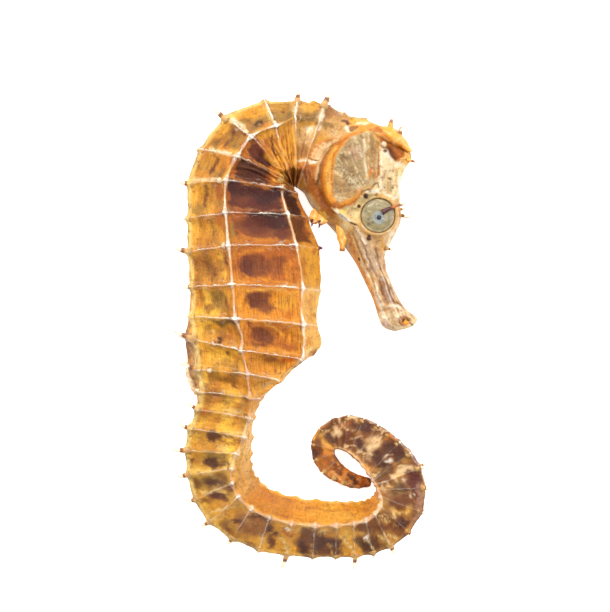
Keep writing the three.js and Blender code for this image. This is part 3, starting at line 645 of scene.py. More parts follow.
    (LINE, ORANGE, 0.6, 0.22, [(1.7, 5.4), (1.5, 0.6)]),
    (AREA, PEACH, 0.75, 0.4, [(0.0, -0.4), (3.0, -0.6), (3.0, -3.6), (0.0, -4.8)]),
    (SPOT, ORANGE, 0.7, (0.9, 0.8, 0), [(1.0, -2.2)]),
    (SPOT, RUST, 0.7, (0.8, 0.3, 20), [(1.6, -4.0)]),
    (LINE, CREAM, 0.8, 0.16, [(0.0, -4.2), (1.2, -3.6), (2.6, -2.9)]),
    (LINE, CREAM, 0.8, 0.18, [(0.4, 0.6), (0.3, -1.4), (-0.2, -2.6)]),
    (LINE, CREAM, 0.8, 0.3, [(0.2, 5.9), (2.4, 6.0), (3.6, 5.5)]),
    (LINE, MAUVE, 0.8, 0.2, [(2.6, -3.6), (1.4, -4.9), (0.2, -5.6), (-1.6, -6.8)]),
    # The gathered skin of the throat.
    (AREA, RUST, 0.6, 0.5, [(-3.2, 24.0), (-1.8, 26.0), (-1.0, 24.6), (-0.4, 22.6), (-1.6, 21.0),
        (-2.8, 22.6)]),
    (SPOT, UMBER, 0.4, (0.4, 0.6, 20), [(-2.0, 22.7)]),
    (LINE, UMBER, 0.7, 0.12, [(-1.6, 25.4), (-1.1, 24.0), (-0.6, 23.2)]),
    (LINE, UMBER, 0.6, 0.1, [(-2.9, 23.0), (-2.4, 22.1), (-2.0, 21.6)]),
    (LINE, HONEY, 0.8, 0.25, [(-5.9, 27.2), (-4.8, 26.4), (-3.2, 25.9), (-2.2, 25.9)]),
    (LINE, GOLD, 0.8, 0.35, [(-4.2, 24.9), (-3.4, 24.6), (-2.8, 23.6)]),
    (SPOT, CREAM, 0.8, (0.35, 0.4, 0), [(-3.5, 23.2)]),
    (SPOT, WINE, 0.8, (0.2, 0.7, 8), [(-4.6, 29.6)]),
    (LINE, WINE, 0.9, 0.22, [(-4.8, 28.8), (-4.2, 27.8), (-3.6, 26.8)]),
    (LINE, RUST, 0.8, 0.3, [(-3.2, 30.6), (-2.8, 28.8), (-2.4, 27.6)]),
    (LINE, RUST, 0.7, 0.25, [(-5.6, 29.4), (-5.2, 28.2)]),
    (LINE, HONEY, 0.8, 0.2, [(-1.5, 31.6), (-1.9, 29.6), (-1.7, 27.6), (-1.6, 26.6)]),
    (LINE, HONEY, 0.8, 0.2, [(-3.6, 30.4), (-3.4, 28.8), (-2.4, 27.0)]),
    (AREA, RUST, 0.9, 0.25, [(-0.8, 25.6), (2.4, 25.6), (2.6, 24.2), (1.8, 21.4), (1.0, 21.8), (0.3, 23.4)]),
    (SPOT, MAUVE, 0.6, (0.7, 1.2, 10), [(0.8, 23.9)]),
    (LINE, PINK, 0.8, 0.13, [(-0.5, 25.4), (0.2, 23.8), (0.9, 21.8), (2.0, 19.6), (2.7, 18.0)]),
    (LINE, PINK, 0.8, 0.12, [(2.5, 25.6), (2.2, 23.6), (1.6, 21.8)]),
    (LINE, SAND, 0.6, 0.09, [(0.6, 25.4), (0.9, 23.6), (1.2, 22.2)]),
    (LINE, SAND, 0.6, 0.09, [(1.5, 25.4), (1.5, 23.8), (1.4, 22.2)]),
    (LINE, BONE, 0.95, 0.2, [(-1.0, 26.4), (0.8, 26.25), (3.0, 26.05)]),
)

TAIL_MARKS = (
    (SPOT, BROWN, 0.6, (1.2, 0.8, 0), [(-11.6, -11.2)]),
    (SPOT, CREAM, 0.8, (0.8, 0.5, 0), [(-7.9, -10.8)]),
    (SPOT, UMBER, 0.8, (0.2, 0.3, 0), [(-8.6, -10.6)]),
    (SPOT, GREY, 0.6, (0.25, 0.5, 20), [(-9.5, -12.1)]),
    (SPOT, RUST, 0.5, (1.6, 0.6, 0), [(-15.2, -13.4)]),
    (SPOT, RUST, 0.5, (0.8, 0.6, 0), [(-13.2, -14.4)]),
    (SPOT, GREY, 0.6, (0.3, 0.25, 0), [(-10.8, -14.9)]),
    (SPOT, UMBER, 0.8, (0.35, 0.3, 20), [(-8.9, -13.7)]),
    (SPOT, UMBER, 0.9, (1.3, 0.95, 0), [(-13.7, -17.1)]),
    (LINE, BROWN, 0.9, 0.3, [(-13.6, -16.6), (-12.2, -16.9), (-10.8, -17.3), (-10.2, -17.9)]),
    (LINE, BROWN, 0.7, 0.22, [(-13.2, -18.1), (-11.6, -18.2), (-10.3, -18.0)]),
    (SPOT, YELLOW, 0.5, (0.9, 0.8, 0), [(-16.7, -17.4)]),
    (SPOT, OLIVE, 0.9, (1.8, 0.9, 0), [(-13.4, -20.6)]),
    (SPOT, UMBER, 0.95, (1.5, 0.8, -10), [(-14.2, -21.4)]),
    (SPOT, BROWN, 0.8, (0.9, 0.4, 5), [(-12.0, -21.5)]),
    (SPOT, BROWN, 0.9, (0.6, 0.6, 0), [(-17.6, -21.2)]),
    (LINE, CREAM, 0.7, 0.2, [(-17.4, -22.6), (-15.6, -22.9), (-13.8, -22.8)]),
    (AREA, MOSS, 0.8, 0.6, [(-17.0, -23.4), (-12.0, -23.2), (-11.2, -24.6), (-12.0, -25.4), (-16.6, -25.5)]),
    (SPOT, UMBER, 0.85, (1.4, 0.7, 0), [(-14.2, -24.4)]),
    (SPOT, MAUVE, 0.85, (0.45, 0.6, -20), [(-11.3, -25.1)]),
    (SPOT, BROWN, 0.7, (0.5, 1.0, 0), [(-16.8, -24.8)]),
    (LINE, CREAM, 0.7, 0.2, [(-16.4, -26.2), (-14.6, -26.1), (-12.4, -25.8)]),
    (SPOT, WINE, 0.95, (1.5, 0.8, -12), [(-13.1, -26.9)]),
    (SPOT, BROWN, 0.7, (1.3, 0.45, 0), [(-15.0, -27.4)]),
    (LINE, RUST, 0.7, 0.25, [(-13.6, -27.9), (-11.0, -27.8)]),
    (SPOT, GOLD, 0.9, (2.6, 1.5, -30), [(-12.4, -28.9)]),
    (LINE, CREAM, 0.8, 0.18, [(-15.0, -29.6), (-12.6, -28.6), (-10.4, -28.3)]),
    (LINE, CREAM, 0.8, 0.16, [(-14.0, -30.4), (-12.4, -29.6)]),
    (SPOT, UMBER, 0.9, (0.9, 0.5, 0), [(-10.4, -30.7)]),
    (AREA, BROWN, 0.8, 0.4, [(-13.2, -31.0), (-11.8, -30.8), (-10.4, -32.6), (-9.6, -34.0), (-11.2, -33.4),
        (-12.6, -32.2)]),
    (AREA, MAUVE, 0.75, 0.6, [(-10.4, -29.4), (-5.0, -29.8), (-4.4, -31.6), (-6.6, -33.2), (-9.8, -33.0)]),
    (SPOT, SAND, 0.5, (0.5, 1.0, 20), [(-8.3, -30.8)]),
    (LINE, UMBER, 0.8, 0.22, [(-8.6, -29.7), (-6.6, -30.1), (-5.0, -30.2)]),
    (SPOT, UMBER, 0.95, (0.7, 0.6, 0), [(-5.0, -31.8)]),
    (SPOT, UMBER, 0.9, (0.7, 0.5, -30), [(-3.9, -32.8)]),
    (SPOT, BROWN, 0.95, (0.55, 1.4, 8), [(-4.9, -33.9)]),
    (LINE, BROWN, 0.9, 0.35, [(-9.6, -34.0), (-8.0, -34.5), (-6.9, -35.1)]),
    (LINE, CREAM, 0.7, 0.22, [(-6.3, -32.6), (-6.3, -34.4)]),
    (SPOT, GOLD, 0.8, (0.8, 1.4, 15), [(-3.1, -34.0)]),
    (LINE, CREAM, 0.9, 0.2, [(-3.4, -32.8), (-2.8, -34.2), (-2.2, -35.8)]),
    (LINE, RUST, 0.8, 0.22, [(-3.0, -32.4), (-1.6, -32.8), (-0.6, -32.6)]),
    # A painted highlight: a white glint on the tail.
    (SPOT, BONE, 0.9, (0.3, 0.2, 0), [(-2.2, -31.9)]),
    (AREA, BROWN, 0.92, 0.35, [(-0.8, -35.6), (-0.9, -33.8), (0.2, -31.4), (1.3, -31.4), (3.4, -32.6),
        (5.6, -33.3), (6.3, -34.3), (6.5, -36.2), (3.6, -36.4), (0.2, -36.2)]),
    (SPOT, UMBER, 0.9, (0.6, 1.3, 12), [(0.2, -35.0)]),
    (SPOT, UMBER, 0.8, (1.0, 1.2, 0), [(3.0, -33.9)]),
    (SPOT, UMBER, 0.8, (1.2, 0.6, -15), [(5.0, -34.0)]),
    (LINE, SAND, 0.8, 0.17, [(1.2, -33.8), (1.4, -35.8)]),
    (LINE, SAND, 0.8, 0.17, [(4.3, -34.3), (4.9, -35.9)]),
    (LINE, SAND, 0.6, 0.12, [(2.4, -32.2), (3.0, -33.2)]),
    (AREA, GOLD, 0.9, 0.35, [(6.6, -33.2), (7.8, -33.8), (9.4, -35.8), (8.8, -36.4), (6.9, -36.3),
        (6.8, -34.6)]),
    (LINE, CREAM, 0.95, 0.2, [(5.9, -32.6), (7.0, -34.0), (8.4, -36.0)]),
    (AREA, UMBER, 0.9, 0.35, [(7.9, -33.5), (9.2, -33.1), (11.4, -33.1), (12.8, -34.3), (13.2, -35.0),
        (11.9, -35.7), (10.2, -36.0), (9.3, -35.0)]),
    (LINE, CREAM, 0.85, 0.18, [(9.9, -33.4), (10.8, -34.6), (11.7, -35.4)]),
    # A painted highlight: a white glint on the tail.
    (SPOT, BONE, 0.9, (0.25, 0.35, 0), [(10.1, -33.0)]),
    (AREA, OCHRE, 0.8, 0.4, [(11.6, -32.4), (15.4, -33.2), (14.8, -34.8), (13.6, -34.8), (12.4, -33.4)]),
    (LINE, CREAM, 0.85, 0.16, [(11.8, -32.6), (13.2, -33.8), (14.2, -34.4)]),
    (LINE, CREAM, 0.85, 0.14, [(12.6, -32.2), (14.2, -33.2), (15.2, -33.8)]),
    (AREA, BROWN, 0.95, 0.3, [(10.4, -31.5), (13.0, -31.0), (14.4, -30.1), (15.8, -29.7), (17.2, -30.8),
        (16.8, -31.7), (15.8, -32.7), (13.0, -31.9)]),
    (LINE, SAND, 0.9, 0.16, [(14.4, -31.0), (15.2, -31.6)]),
    (SPOT, UMBER, 0.8, (1.0, 0.5, 15), [(15.9, -31.0)]),
    (LINE, CREAM, 0.8, 0.13, [(12.0, -29.9), (14.4, -29.4), (17.0, -29.2)]),
    (LINE, CREAM, 0.6, 0.12, [(12.0, -30.5), (14.0, -30.2), (16.0, -29.4)]),
    (AREA, BROWN, 0.85, 0.3, [(13.9, -27.4), (15.0, -26.9), (17.2, -27.2), (17.5, -28.2), (15.6, -28.8),
        (14.0, -28.3)]),
    (AREA, MOSS, 0.95, 0.3, [(13.9, -25.6), (15.0, -24.6), (16.4, -24.7), (17.3, -26.0), (15.8, -26.4),
        (14.2, -26.3)]),
    (SPOT, UMBER, 0.7, (0.8, 0.5, -30), [(16.2, -25.4)]),
    (AREA, WINE, 0.95, 0.3, [(16.4, -24.4), (17.2, -22.9), (18.2, -22.6), (19.0, -23.6), (19.2, -25.4),
        (18.2, -27.4), (17.4, -26.0)]),
    (SPOT, LILAC, 0.6, (0.5, 1.5, 10), [(18.6, -26.2)]),
    (AREA, LILAC, 0.6, 0.4, [(18.0, -27.6), (19.2, -27.2), (19.2, -29.0), (18.0, -31.0), (17.4, -30.6),
        (18.0, -29.2)]),
    (SPOT, BONE, 0.9, (0.25, 0.5, 0), [(17.4, -26.6)]),
    (SPOT, BONE, 0.8, (0.35, 0.3, 0), [(16.1, -24.1)]),
    (SPOT, CREAM, 0.7, (1.2, 0.5, 40), [(15.4, -23.2)]),
    (AREA, UMBER, 0.92, 0.35, [(12.8, -18.7), (14.0, -18.0), (15.6, -18.6), (16.4, -19.8), (16.2, -21.2),
        (15.1, -21.5), (14.2, -20.4), (13.2, -19.6)]),
    (AREA, UMBER, 0.92, 0.35, [(10.9, -20.6), (11.8, -19.4), (12.8, -19.2), (13.4, -20.6), (14.0, -22.0),
        (12.9, -22.6), (11.6, -22.2)]),
    (SPOT, MOSS, 0.8, (1.1, 0.7, 20), [(12.8, -23.2)]),
    # Painted highlights: two white glints on the tail.
    (SPOT, BONE, 0.9, (0.35, 0.22, 30), [(13.5, -20.4)]),
    (SPOT, BONE, 0.8, (0.25, 0.3, 0), [(13.9, -21.1)]),
    (LINE, ORANGE, 0.6, 0.3, [(12.8, -17.2), (14.4, -17.4), (16.4, -18.8)]),
    (AREA, CREAM, 0.7, 0.4, [(10.4, -17.6), (11.8, -16.8), (12.4, -17.8), (11.6, -19.2), (10.6, -20.8),
        (10.2, -19.6)]),
    (AREA, UMBER, 0.92, 0.3, [(7.5, -15.4), (8.4, -14.8), (10.4, -15.0), (11.2, -15.8), (10.4, -16.8),
        (8.9, -16.4), (7.8, -16.0)]),
    (AREA, UMBER, 0.92, 0.25, [(8.2, -17.2), (9.4, -17.4), (10.2, -18.6), (9.9, -19.7), (9.1, -19.4),
        (8.4, -18.3)]),
    (AREA, BROWN, 0.95, 0.25, [(6.8, -16.6), (7.8, -16.4), (7.9, -18.3), (6.5, -18.6), (6.2, -18.1)]),
    (SPOT, RUST, 0.6, (0.9, 0.4, 10), [(6.8, -15.3)]),
    (SPOT, CREAM, 0.7, (0.7, 1.2, 10), [(5.6, -16.6)]),
    (AREA, UMBER, 0.92, 0.25, [(3.5, -17.0), (4.6, -16.6), (5.3, -17.6), (5.4, -18.6), (4.2, -18.8),
        (3.2, -17.7)]),
    (SPOT, RUST, 0.9, (0.8, 0.5, -20), [(3.4, -19.0)]),
    (AREA, BROWN, 0.85, 0.4, [(1.0, -18.6), (2.6, -16.8), (3.8, -18.2), (3.0, -20.8), (1.4, -20.8)]),
    (LINE, UMBER, 0.8, 0.25, [(2.6, -16.9), (3.8, -16.0), (4.8, -15.4)]),
    (SPOT, RUST, 0.7, (0.4, 0.9, 10), [(2.6, -18.2)]),
    (LINE, HONEY, 0.8, 0.4, [(5.0, -19.4), (7.6, -20.2), (9.2, -21.4), (11.0, -23.4)]),
)

TIP_MARKS = (
    (AREA, BROWN, 0.85, 0.4, [(1.0, -18.6), (2.6, -17.0), (3.6, -18.6), (3.0, -20.8), (1.4, -20.8)]),
    (SPOT, UMBER, 0.9, (0.5, 0.9, 10), [(1.9, -20.1)]),
    (AREA, BROWN, 0.85, 0.25, [(5.0, -20.6), (6.0, -22.0), (6.6, -23.8), (5.4, -23.4), (4.7, -21.4)]),
    (AREA, UMBER, 0.85, 0.25, [(6.8, -22.8), (7.2, -23.8), (8.4, -24.8), (9.2, -24.6), (8.0, -23.6)]),
    (SPOT, UMBER, 0.9, (0.35, 0.35, 0), [(11.0, -24.1)]),
    (SPOT, RUST, 0.9, (0.9, 0.3, 15), [(9.8, -24.7)]),
    (LINE, FLAME, 0.7, 0.22, [(6.6, -22.0), (8.2, -23.4), (10.4, -24.0)]),
    (LINE, CREAM, 0.5, 0.14, [(4.2, -22.8), (6.6, -24.6), (9.0, -25.3)]),
)

HEAD_MARKS = (
    # Behind and over the gill cover.
    (AREA, SAND, 0.7, 0.4, [(4.0, 33.6), (7.0, 32.6), (7.2, 30.8), (5.6, 30.2), (3.4, 27.2), (1.0, 27.0),
        (0.4, 31.0)]),
    (SPOT, PINK, 0.5, (1.0, 1.4, 0), [(2.2, 30.4)]),
    (AREA, ORANGE, 0.85, 0.4, [(7.4, 33.0), (10.0, 33.2), (12.0, 32.0), (13.2, 31.7), (12.4, 30.6),
        (10.8, 31.2), (9.6, 30.6), (7.6, 31.8)]),
    (SPOT, RUST, 0.7, (1.1, 0.4, -8), [(11.8, 31.2)]),
    (SPOT, HONEY, 0.7, (1.4, 0.5, -5), [(9.2, 32.5)]),
    (SPOT, WINE, 0.9, (0.75, 0.32, -12), [(6.8, 32.4)]),
    (LINE, BONE, 0.9, 0.3, [(7.2, 31.9), (7.1, 30.8)]),
    (SPOT, MAUVE, 0.7, (0.8, 0.4, 12), [(8.1, 31.4)]),
    (SPOT, BONE, 0.7, (0.7, 0.4, -20), [(5.6, 33.7)]),
    (SPOT, BONE, 0.6, (0.9, 0.35, -15), [(4.6, 32.5)]),
    (SPOT, BONE, 0.6, (1.0, 0.45, -10), [(3.9, 34.2)]),
    (SPOT, BONE, 0.55, (0.9, 0.8, 0), [(4.8, 30.9)]),
    (SPOT, OLIVE, 0.6, (1.3, 0.7, -10), [(4.9, 33.1)]),
    (LINE, MOSS, 0.8, 0.2, [(3.0, 31.4), (4.4, 31.9), (5.8, 32.2)]),
    (SPOT, MOSS, 0.7, (0.25, 0.3, 0), [(5.2, 31.2)]),
    (SPOT, UMBER, 0.7, (0.2, 0.2, 0), [(4.0, 33.5)]),
    (SPOT, BONE, 0.6, (1.2, 0.3, 5), [(9.4, 32.2)]),
    # Gill cover, its rolled rim and the groove round it.
    (LINE, BROWN, 0.8, 0.32, [(6.6, 30.2), (4.6, 28.4), (3.3, 26.4), (2.8, 24.2), (2.5, 22.0), (3.2, 20.2),
        (4.4, 18.4), (5.1, 17.2)]),
    (LINE, PINK, 0.9, 0.18, [(6.6, 30.6), (4.6, 29.2), (3.0, 27.0), (2.5, 24.4), (2.1, 22.2)]),
    (AREA, ORANGE, 0.95, 0.3, [(8.8, 31.0), (7.0, 30.4), (5.0, 28.8), (3.6, 26.6), (3.0, 24.0), (3.1, 21.8),
        (4.0, 19.8), (5.0, 18.4), (6.2, 18.6), (8.2, 20.0), (9.6, 21.8), (9.4, 30.6)]),
    (LINE, FLAME, 0.5, 0.4, [(8.2, 30.4), (5.6, 28.8), (4.0, 26.4), (3.5, 23.6), (3.8, 21.0), (5.0, 19.2)]),
    (LINE, RUST, 0.9, 0.2, [(8.0, 30.5), (5.2, 28.6), (3.5, 26.0), (3.1, 23.4), (3.3, 21.2)]),
    (LINE, HONEY, 0.8, 0.34, [(5.8, 29.0), (4.6, 27.2), (4.0, 25.0), (3.9, 22.8), (4.5, 20.6)]),
    (LINE, CREAM, 0.35, 0.18, [(5.0, 26.6), (4.5, 24.6), (4.4, 22.6), (4.8, 21.0)]),
    (LINE, RUST, 0.8, 0.13, [(6.4, 29.3), (5.2, 27.4), (4.7, 25.0), (4.6, 22.6), (5.0, 20.6)]),
    (SPOT, UMBER, 0.8, (0.5, 1.0, 30), [(2.9, 20.8)]),
    (SPOT, RUST, 0.7, (0.9, 0.5, -20), [(5.4, 19.2)]),
    (AREA, GREY, 0.95, 0.4, [(9.2, 30.5), (7.6, 29.9), (6.2, 28.4), (5.4, 26.6), (5.0, 24.4), (4.9, 22.4),
        (5.1, 20.6), (5.7, 19.5),
                             (8.0, 20.6), (9.6, 21.9), (11.4, 23.1), (12.0, 25.0), (12.0, 28.8),
                             (10.9, 30.6)]),
    (AREA, OCHRE, 0.55, 0.35, [(10.0, 30.3), (11.2, 30.3), (11.9, 28.6), (11.9, 25.0), (11.4, 23.4),
        (10.5, 22.8), (10.1, 26.0)]),
    (AREA, SAND, 0.6, 0.3, [(5.3, 20.9), (6.0, 19.6), (8.0, 20.5), (9.4, 21.7), (8.0, 21.5)]),
    (SPOT, SAND, 0.6, (0.6, 1.6, 15), [(6.0, 23.0)]),
    (SPOT, MOSS, 0.5, (0.9, 1.3, 10), [(7.6, 24.4)]),
    (SPOT, MOSS, 0.4, (1.2, 0.8, 0), [(6.6, 26.2)]),
    (SPOT, LILAC, 0.5, (1.3, 1.2, 0), [(8.4, 27.6)]),
    (LINE, BONE, 0.45, 0.2, [(9.9, 30.0), (9.8, 27.0), (10.0, 24.4), (10.2, 22.8)]),
    (SPOT, OLIVE, 0.6, (0.4, 1.6, 0), [(10.9, 27.8)]),
    (SPOT, FLAME, 0.85, (0.35, 0.7, -15), [(10.9, 24.8)]),
    (SPOT, ORANGE, 0.85, (0.3, 0.5, -30), [(10.4, 24.0)]),
    (LINE, RUST, 0.85, 0.15, [(12.0, 29.6), (12.1, 26.6), (12.0, 24.2), (11.5, 23.0)]),
    (LINE, ORANGE, 0.85, 0.22, [(11.6, 25.0), (11.7, 23.6)]),
    (LINE, RUST, 0.9, 0.16, [(5.9, 18.8), (7.4, 19.4), (8.8, 20.3), (9.6, 21.2), (9.2, 21.9), (8.2, 21.3)]),
    (LINE, FLAME, 0.8, 0.14, [(7.0, 19.1), (8.4, 19.9), (9.4, 20.9)]),
    # Brow and cheek.
    (AREA, BONE, 0.7, 0.35, [(12.3, 27.0), (12.8, 29.3), (13.5, 28.4), (14.7, 26.1), (15.6, 26.3),
        (16.6, 25.5), (15.9, 23.4), (15.4, 20.6), (14.4, 20.2), (13.2, 20.8), (12.2, 21.9), (12.1, 23.4),
        (12.4, 25.0)]),
    (SPOT, GREY, 0.5, (0.7, 1.7, 12), [(13.3, 22.9)]),
    (SPOT, MOSS, 0.5, (0.35, 0.8, 10), [(13.8, 21.8)]),
    (LINE, SAND, 0.8, 0.2, [(15.0, 25.4), (14.9, 23.0), (15.0, 20.8)]),
    (SPOT, YELLOW, 0.4, (0.6, 1.2, 20), [(15.8, 24.6)]),
    (AREA, CREAM, 0.7, 0.4, [(5.6, 18.4), (7.6, 19.0), (9.4, 20.6), (11.2, 21.8), (12.6, 21.4), (12.0, 20.8),
        (9.4, 19.2), (8.8, 16.4), (7.6, 16.4), (6.6, 17.0)]),
    (AREA, BONE, 0.9, 0.2, [(5.1, 18.9), (6.0, 18.4), (7.0, 17.4), (7.8, 16.7), (6.8, 16.8), (5.8, 17.6)]),
    (SPOT, YELLOW, 0.7, (0.6, 0.3, 0), [(6.5, 18.2)]),
    (LINE, BONE, 0.8, 0.3, [(9.9, 21.2), (11.2, 21.6), (12.4, 21.3)]),
    (LINE, BROWN, 0.8, 0.14, [(9.4, 21.4), (10.8, 21.7), (11.2, 22.4), (11.6, 23.0)]),
    (LINE, BROWN, 0.85, 0.13, [(11.3, 22.4), (11.9, 22.7), (12.2, 22.2), (11.9, 21.9)]),
    (SPOT, RUST, 0.7, (0.3, 0.3, 0), [(11.8, 21.0)]),
    (SPOT, PURPLE, 1.0, (0.34, 0.36, 0), [(10.1, 20.7)]),
    (SPOT, WINE, 0.95, (0.3, 0.32, 0), [(8.9, 19.2)]),
    (LINE, UMBER, 0.95, 0.15, [(7.5, 16.7), (8.1, 16.4), (8.7, 16.1)]),
    (SPOT, PURPLE, 1.0, (0.36, 0.55, 0), [(10.6, 14.1)]),
    # Crown: a sunken brown plate under the yellow ridge.
    (AREA, RUST, 0.9, 0.25, [(11.2, 30.8), (13.0, 29.8), (16.3, 28.4), (16.7, 27.5), (15.4, 26.4),
        (14.7, 26.2), (13.6, 28.2), (12.6, 29.4)]),
    (AREA, MAUVE, 0.75, 0.35, [(12.2, 29.7), (14.2, 28.6), (15.4, 27.0), (14.8, 26.4), (13.8, 27.8)]),
    (LINE, WINE, 0.95, 0.2, [(13.5, 28.4), (14.0, 27.3), (14.8, 26.3)]),
    (AREA, YELLOW, 0.95, 0.25, [(12.8, 31.7), (14.4, 31.6), (16.2, 29.8), (16.6, 28.7), (15.0, 29.3),
        (13.4, 30.3)]),
    (LINE, FLAME, 0.8, 0.3, [(12.2, 30.6), (13.8, 29.9), (15.2, 29.0), (16.4, 28.3)]),
    (AREA, PEACH, 0.85, 0.25, [(16.4, 28.6), (17.4, 27.8), (17.6, 26.8), (16.6, 25.6), (15.6, 26.3),
        (16.4, 27.4)]),
    (SPOT, BONE, 1.0, (0.42, 0.5, 0), [(12.9, 28.9)]),
    (SPOT, BROWN, 0.9, (0.3, 0.28, 0), [(13.1, 27.9)]),
    # Throat.
    (AREA, RUST, 0.9, 0.3, [(-0.6, 23.6), (1.6, 24.6), (3.0, 21.6), (3.9, 20.0), (4.9, 18.9), (5.4, 18.2),
        (5.1, 16.8),
                            (4.2, 17.6), (3.0, 18.6), (1.9, 20.4), (0.8, 21.6)]),
    (LINE, PINK, 0.9, 0.26, [(-0.6, 22.9), (0.2, 21.6), (1.2, 20.4), (1.9, 19.4), (2.3, 18.4)]),
    (AREA, UMBER, 0.5, 0.3, [(2.6, 21.4), (3.8, 19.6), (5.0, 18.0), (4.8, 17.4), (3.8, 18.6), (2.8, 19.8)]),
    (AREA, AMBER, 0.8, 0.3, [(4.2, 18.2), (5.3, 18.0), (6.2, 15.6), (5.8, 15.2), (4.4, 16.6)]),
    (AREA, YELLOW, 0.95, 0.25, [(1.6, 18.4), (1.6, 16.8), (3.2, 16.4), (4.2, 17.5), (3.2, 18.4)]),
    (LINE, PINK, 0.8, 0.13, [(1.2, 20.6), (2.0, 19.2), (2.7, 18.0)]),
    (SPOT, RUST, 0.8, (0.3, 0.3, 0), [(3.1, 18.4)]),
    # Snout.
    (AREA, SAND, 0.8, 0.4, [(7.4, 16.2), (10.6, 14.2), (12.6, 13.0), (13.4, 9.4), (16.6, 2.8), (12.6, 2.4),
        (10.6, 6.8), (8.0, 12.4)]),
    (AREA, PINK, 0.5, 0.4, [(8.0, 15.6), (11.0, 13.6), (12.6, 9.4), (11.4, 8.6), (9.2, 12.4)]),
    (AREA, GREY, 0.4, 0.4, [(8.0, 15.8), (10.4, 14.0), (11.6, 12.0), (12.4, 8.8), (11.2, 9.0), (9.4, 13.0)]),
    (LINE, BONE, 0.7, 0.2, [(8.3, 16.0), (9.4, 14.4), (10.4, 12.8)]),
    (LINE, BROWN, 0.6, 0.14, [(7.9, 15.4), (9.0, 12.4), (10.6, 8.6)]),
    (LINE, BROWN, 0.55, 0.12, [(9.0, 15.2), (10.0, 12.4), (11.2, 8.6)]),
    (LINE, BONE, 0.6, 0.12, [(9.6, 12.6), (10.6, 10.0), (11.6, 7.6)]),
    (LINE, BROWN, 0.85, 0.2, [(11.5, 13.0), (12.0, 11.0), (12.6, 8.8)]),
    (LINE, GOLD, 0.8, 0.25, [(12.6, 14.4), (12.8, 13.0), (12.7, 11.8)]),
    (LINE, BROWN, 0.7, 0.14, [(12.9, 10.2), (13.2, 9.2)]),
    (LINE, BONE, 0.9, 0.17, [(11.5, 7.4), (12.0, 5.6), (12.5, 4.2), (12.9, 3.2)]),
    (AREA, BROWN, 0.7, 0.25, [(12.2, 8.4), (13.1, 8.0), (14.0, 6.6), (14.9, 4.4), (13.4, 4.2), (12.7, 5.2),
        (12.2, 6.8)]),
    (SPOT, LILAC, 0.5, (0.5, 0.8, 20), [(13.7, 4.9)]),
    (LINE, PINK, 0.7, 0.14, [(13.3, 9.4), (14.2, 7.2), (15.4, 4.8)]),
    (LINE, RUST, 0.8, 0.25, [(7.3, 15.2), (8.0, 12.8), (8.4, 11.6)]),
    (LINE, ORANGE, 0.95, 0.42, [(7.5, 13.2), (9.0, 9.8), (10.8, 6.0), (12.0, 3.0), (12.3, 1.8)]),
    (SPOT, PURPLE, 0.9, (0.12, 0.3, 20), [(9.0, 10.8)]),
    (LINE, BROWN, 0.8, 0.16, [(13.3, 3.9), (14.4, 4.1), (15.4, 3.7), (16.0, 3.2)]),
    (LINE, BONE, 0.85, 0.14, [(13.2, 3.1), (14.2, 3.5), (15.2, 3.3), (15.8, 2.8)]),
    (LINE, BROWN, 0.7, 0.16, [(14.0, 2.9), (15.2, 2.8), (16.1, 2.2)]),
    (AREA, CREAM, 0.75, 0.4, [(12.4, 2.4), (14.4, 2.6), (16.4, 2.6), (18.2, 1.6), (17.8, -0.3), (14.2, -0.4),
        (12.4, 0.6)]),
    # A painted highlight on the bulb of the snout.
    (LINE, BONE, 0.8, 0.2, [(12.7, 1.9), (13.4, 1.4)]),
    (SPOT, PINK, 0.8, (0.9, 0.6, 30), [(13.2, 0.4)]),
    (LINE, MAUVE, 0.45, 0.13, [(13.2, 1.2), (13.8, 0.2), (15.0, -0.2)]),
    (LINE, RUST, 0.7, 0.34, [(2.7, 22.3), (3.3, 20.8), (4.1, 19.0), (5.0, 17.2)]),
    (LINE, BONE, 0.6, 0.32, [(14.6, 15.2), (13.8, 13.6), (13.2, 11.6)]),
    (LINE, MAUVE, 0.45, 0.12, [(14.0, 1.7), (14.4, 0.7), (15.2, 0.3)]),
    (LINE, SAND, 0.8, 0.2, [(16.2, 2.4), (17.2, 2.0), (17.9, 1.2)]),
    (SPOT, SAND, 0.7, (0.4, 0.6, 0), [(14.8, 1.1)]),
    (SPOT, RUST, 0.85, (0.95, 0.8, 0), [(16.2, 1.1)]),
    (SPOT, LEMON, 0.8, (0.4, 0.35, 0), [(16.4, 1.0)]),
    (SPOT, BLACK, 0.95, (0.2, 0.2, 0), [(16.0, 1.15)]),
    (SPOT, BLACK, 0.95, (0.25, 0.16, 20), [(16.8, 1.2)]),
    (LINE, BLACK, 0.9, 0.14, [(16.9, 0.7), (17.3, 0.6), (17.7, 0.5)]),
    (LINE, UMBER, 0.7, 0.12, [(15.4, 1.8), (15.3, 1.0), (15.8, 0.3)]),
)

# Which of the head's marks is the gill cover.
GILL_MARK = [mark[1] for mark in HEAD_MARKS].index(GREY)

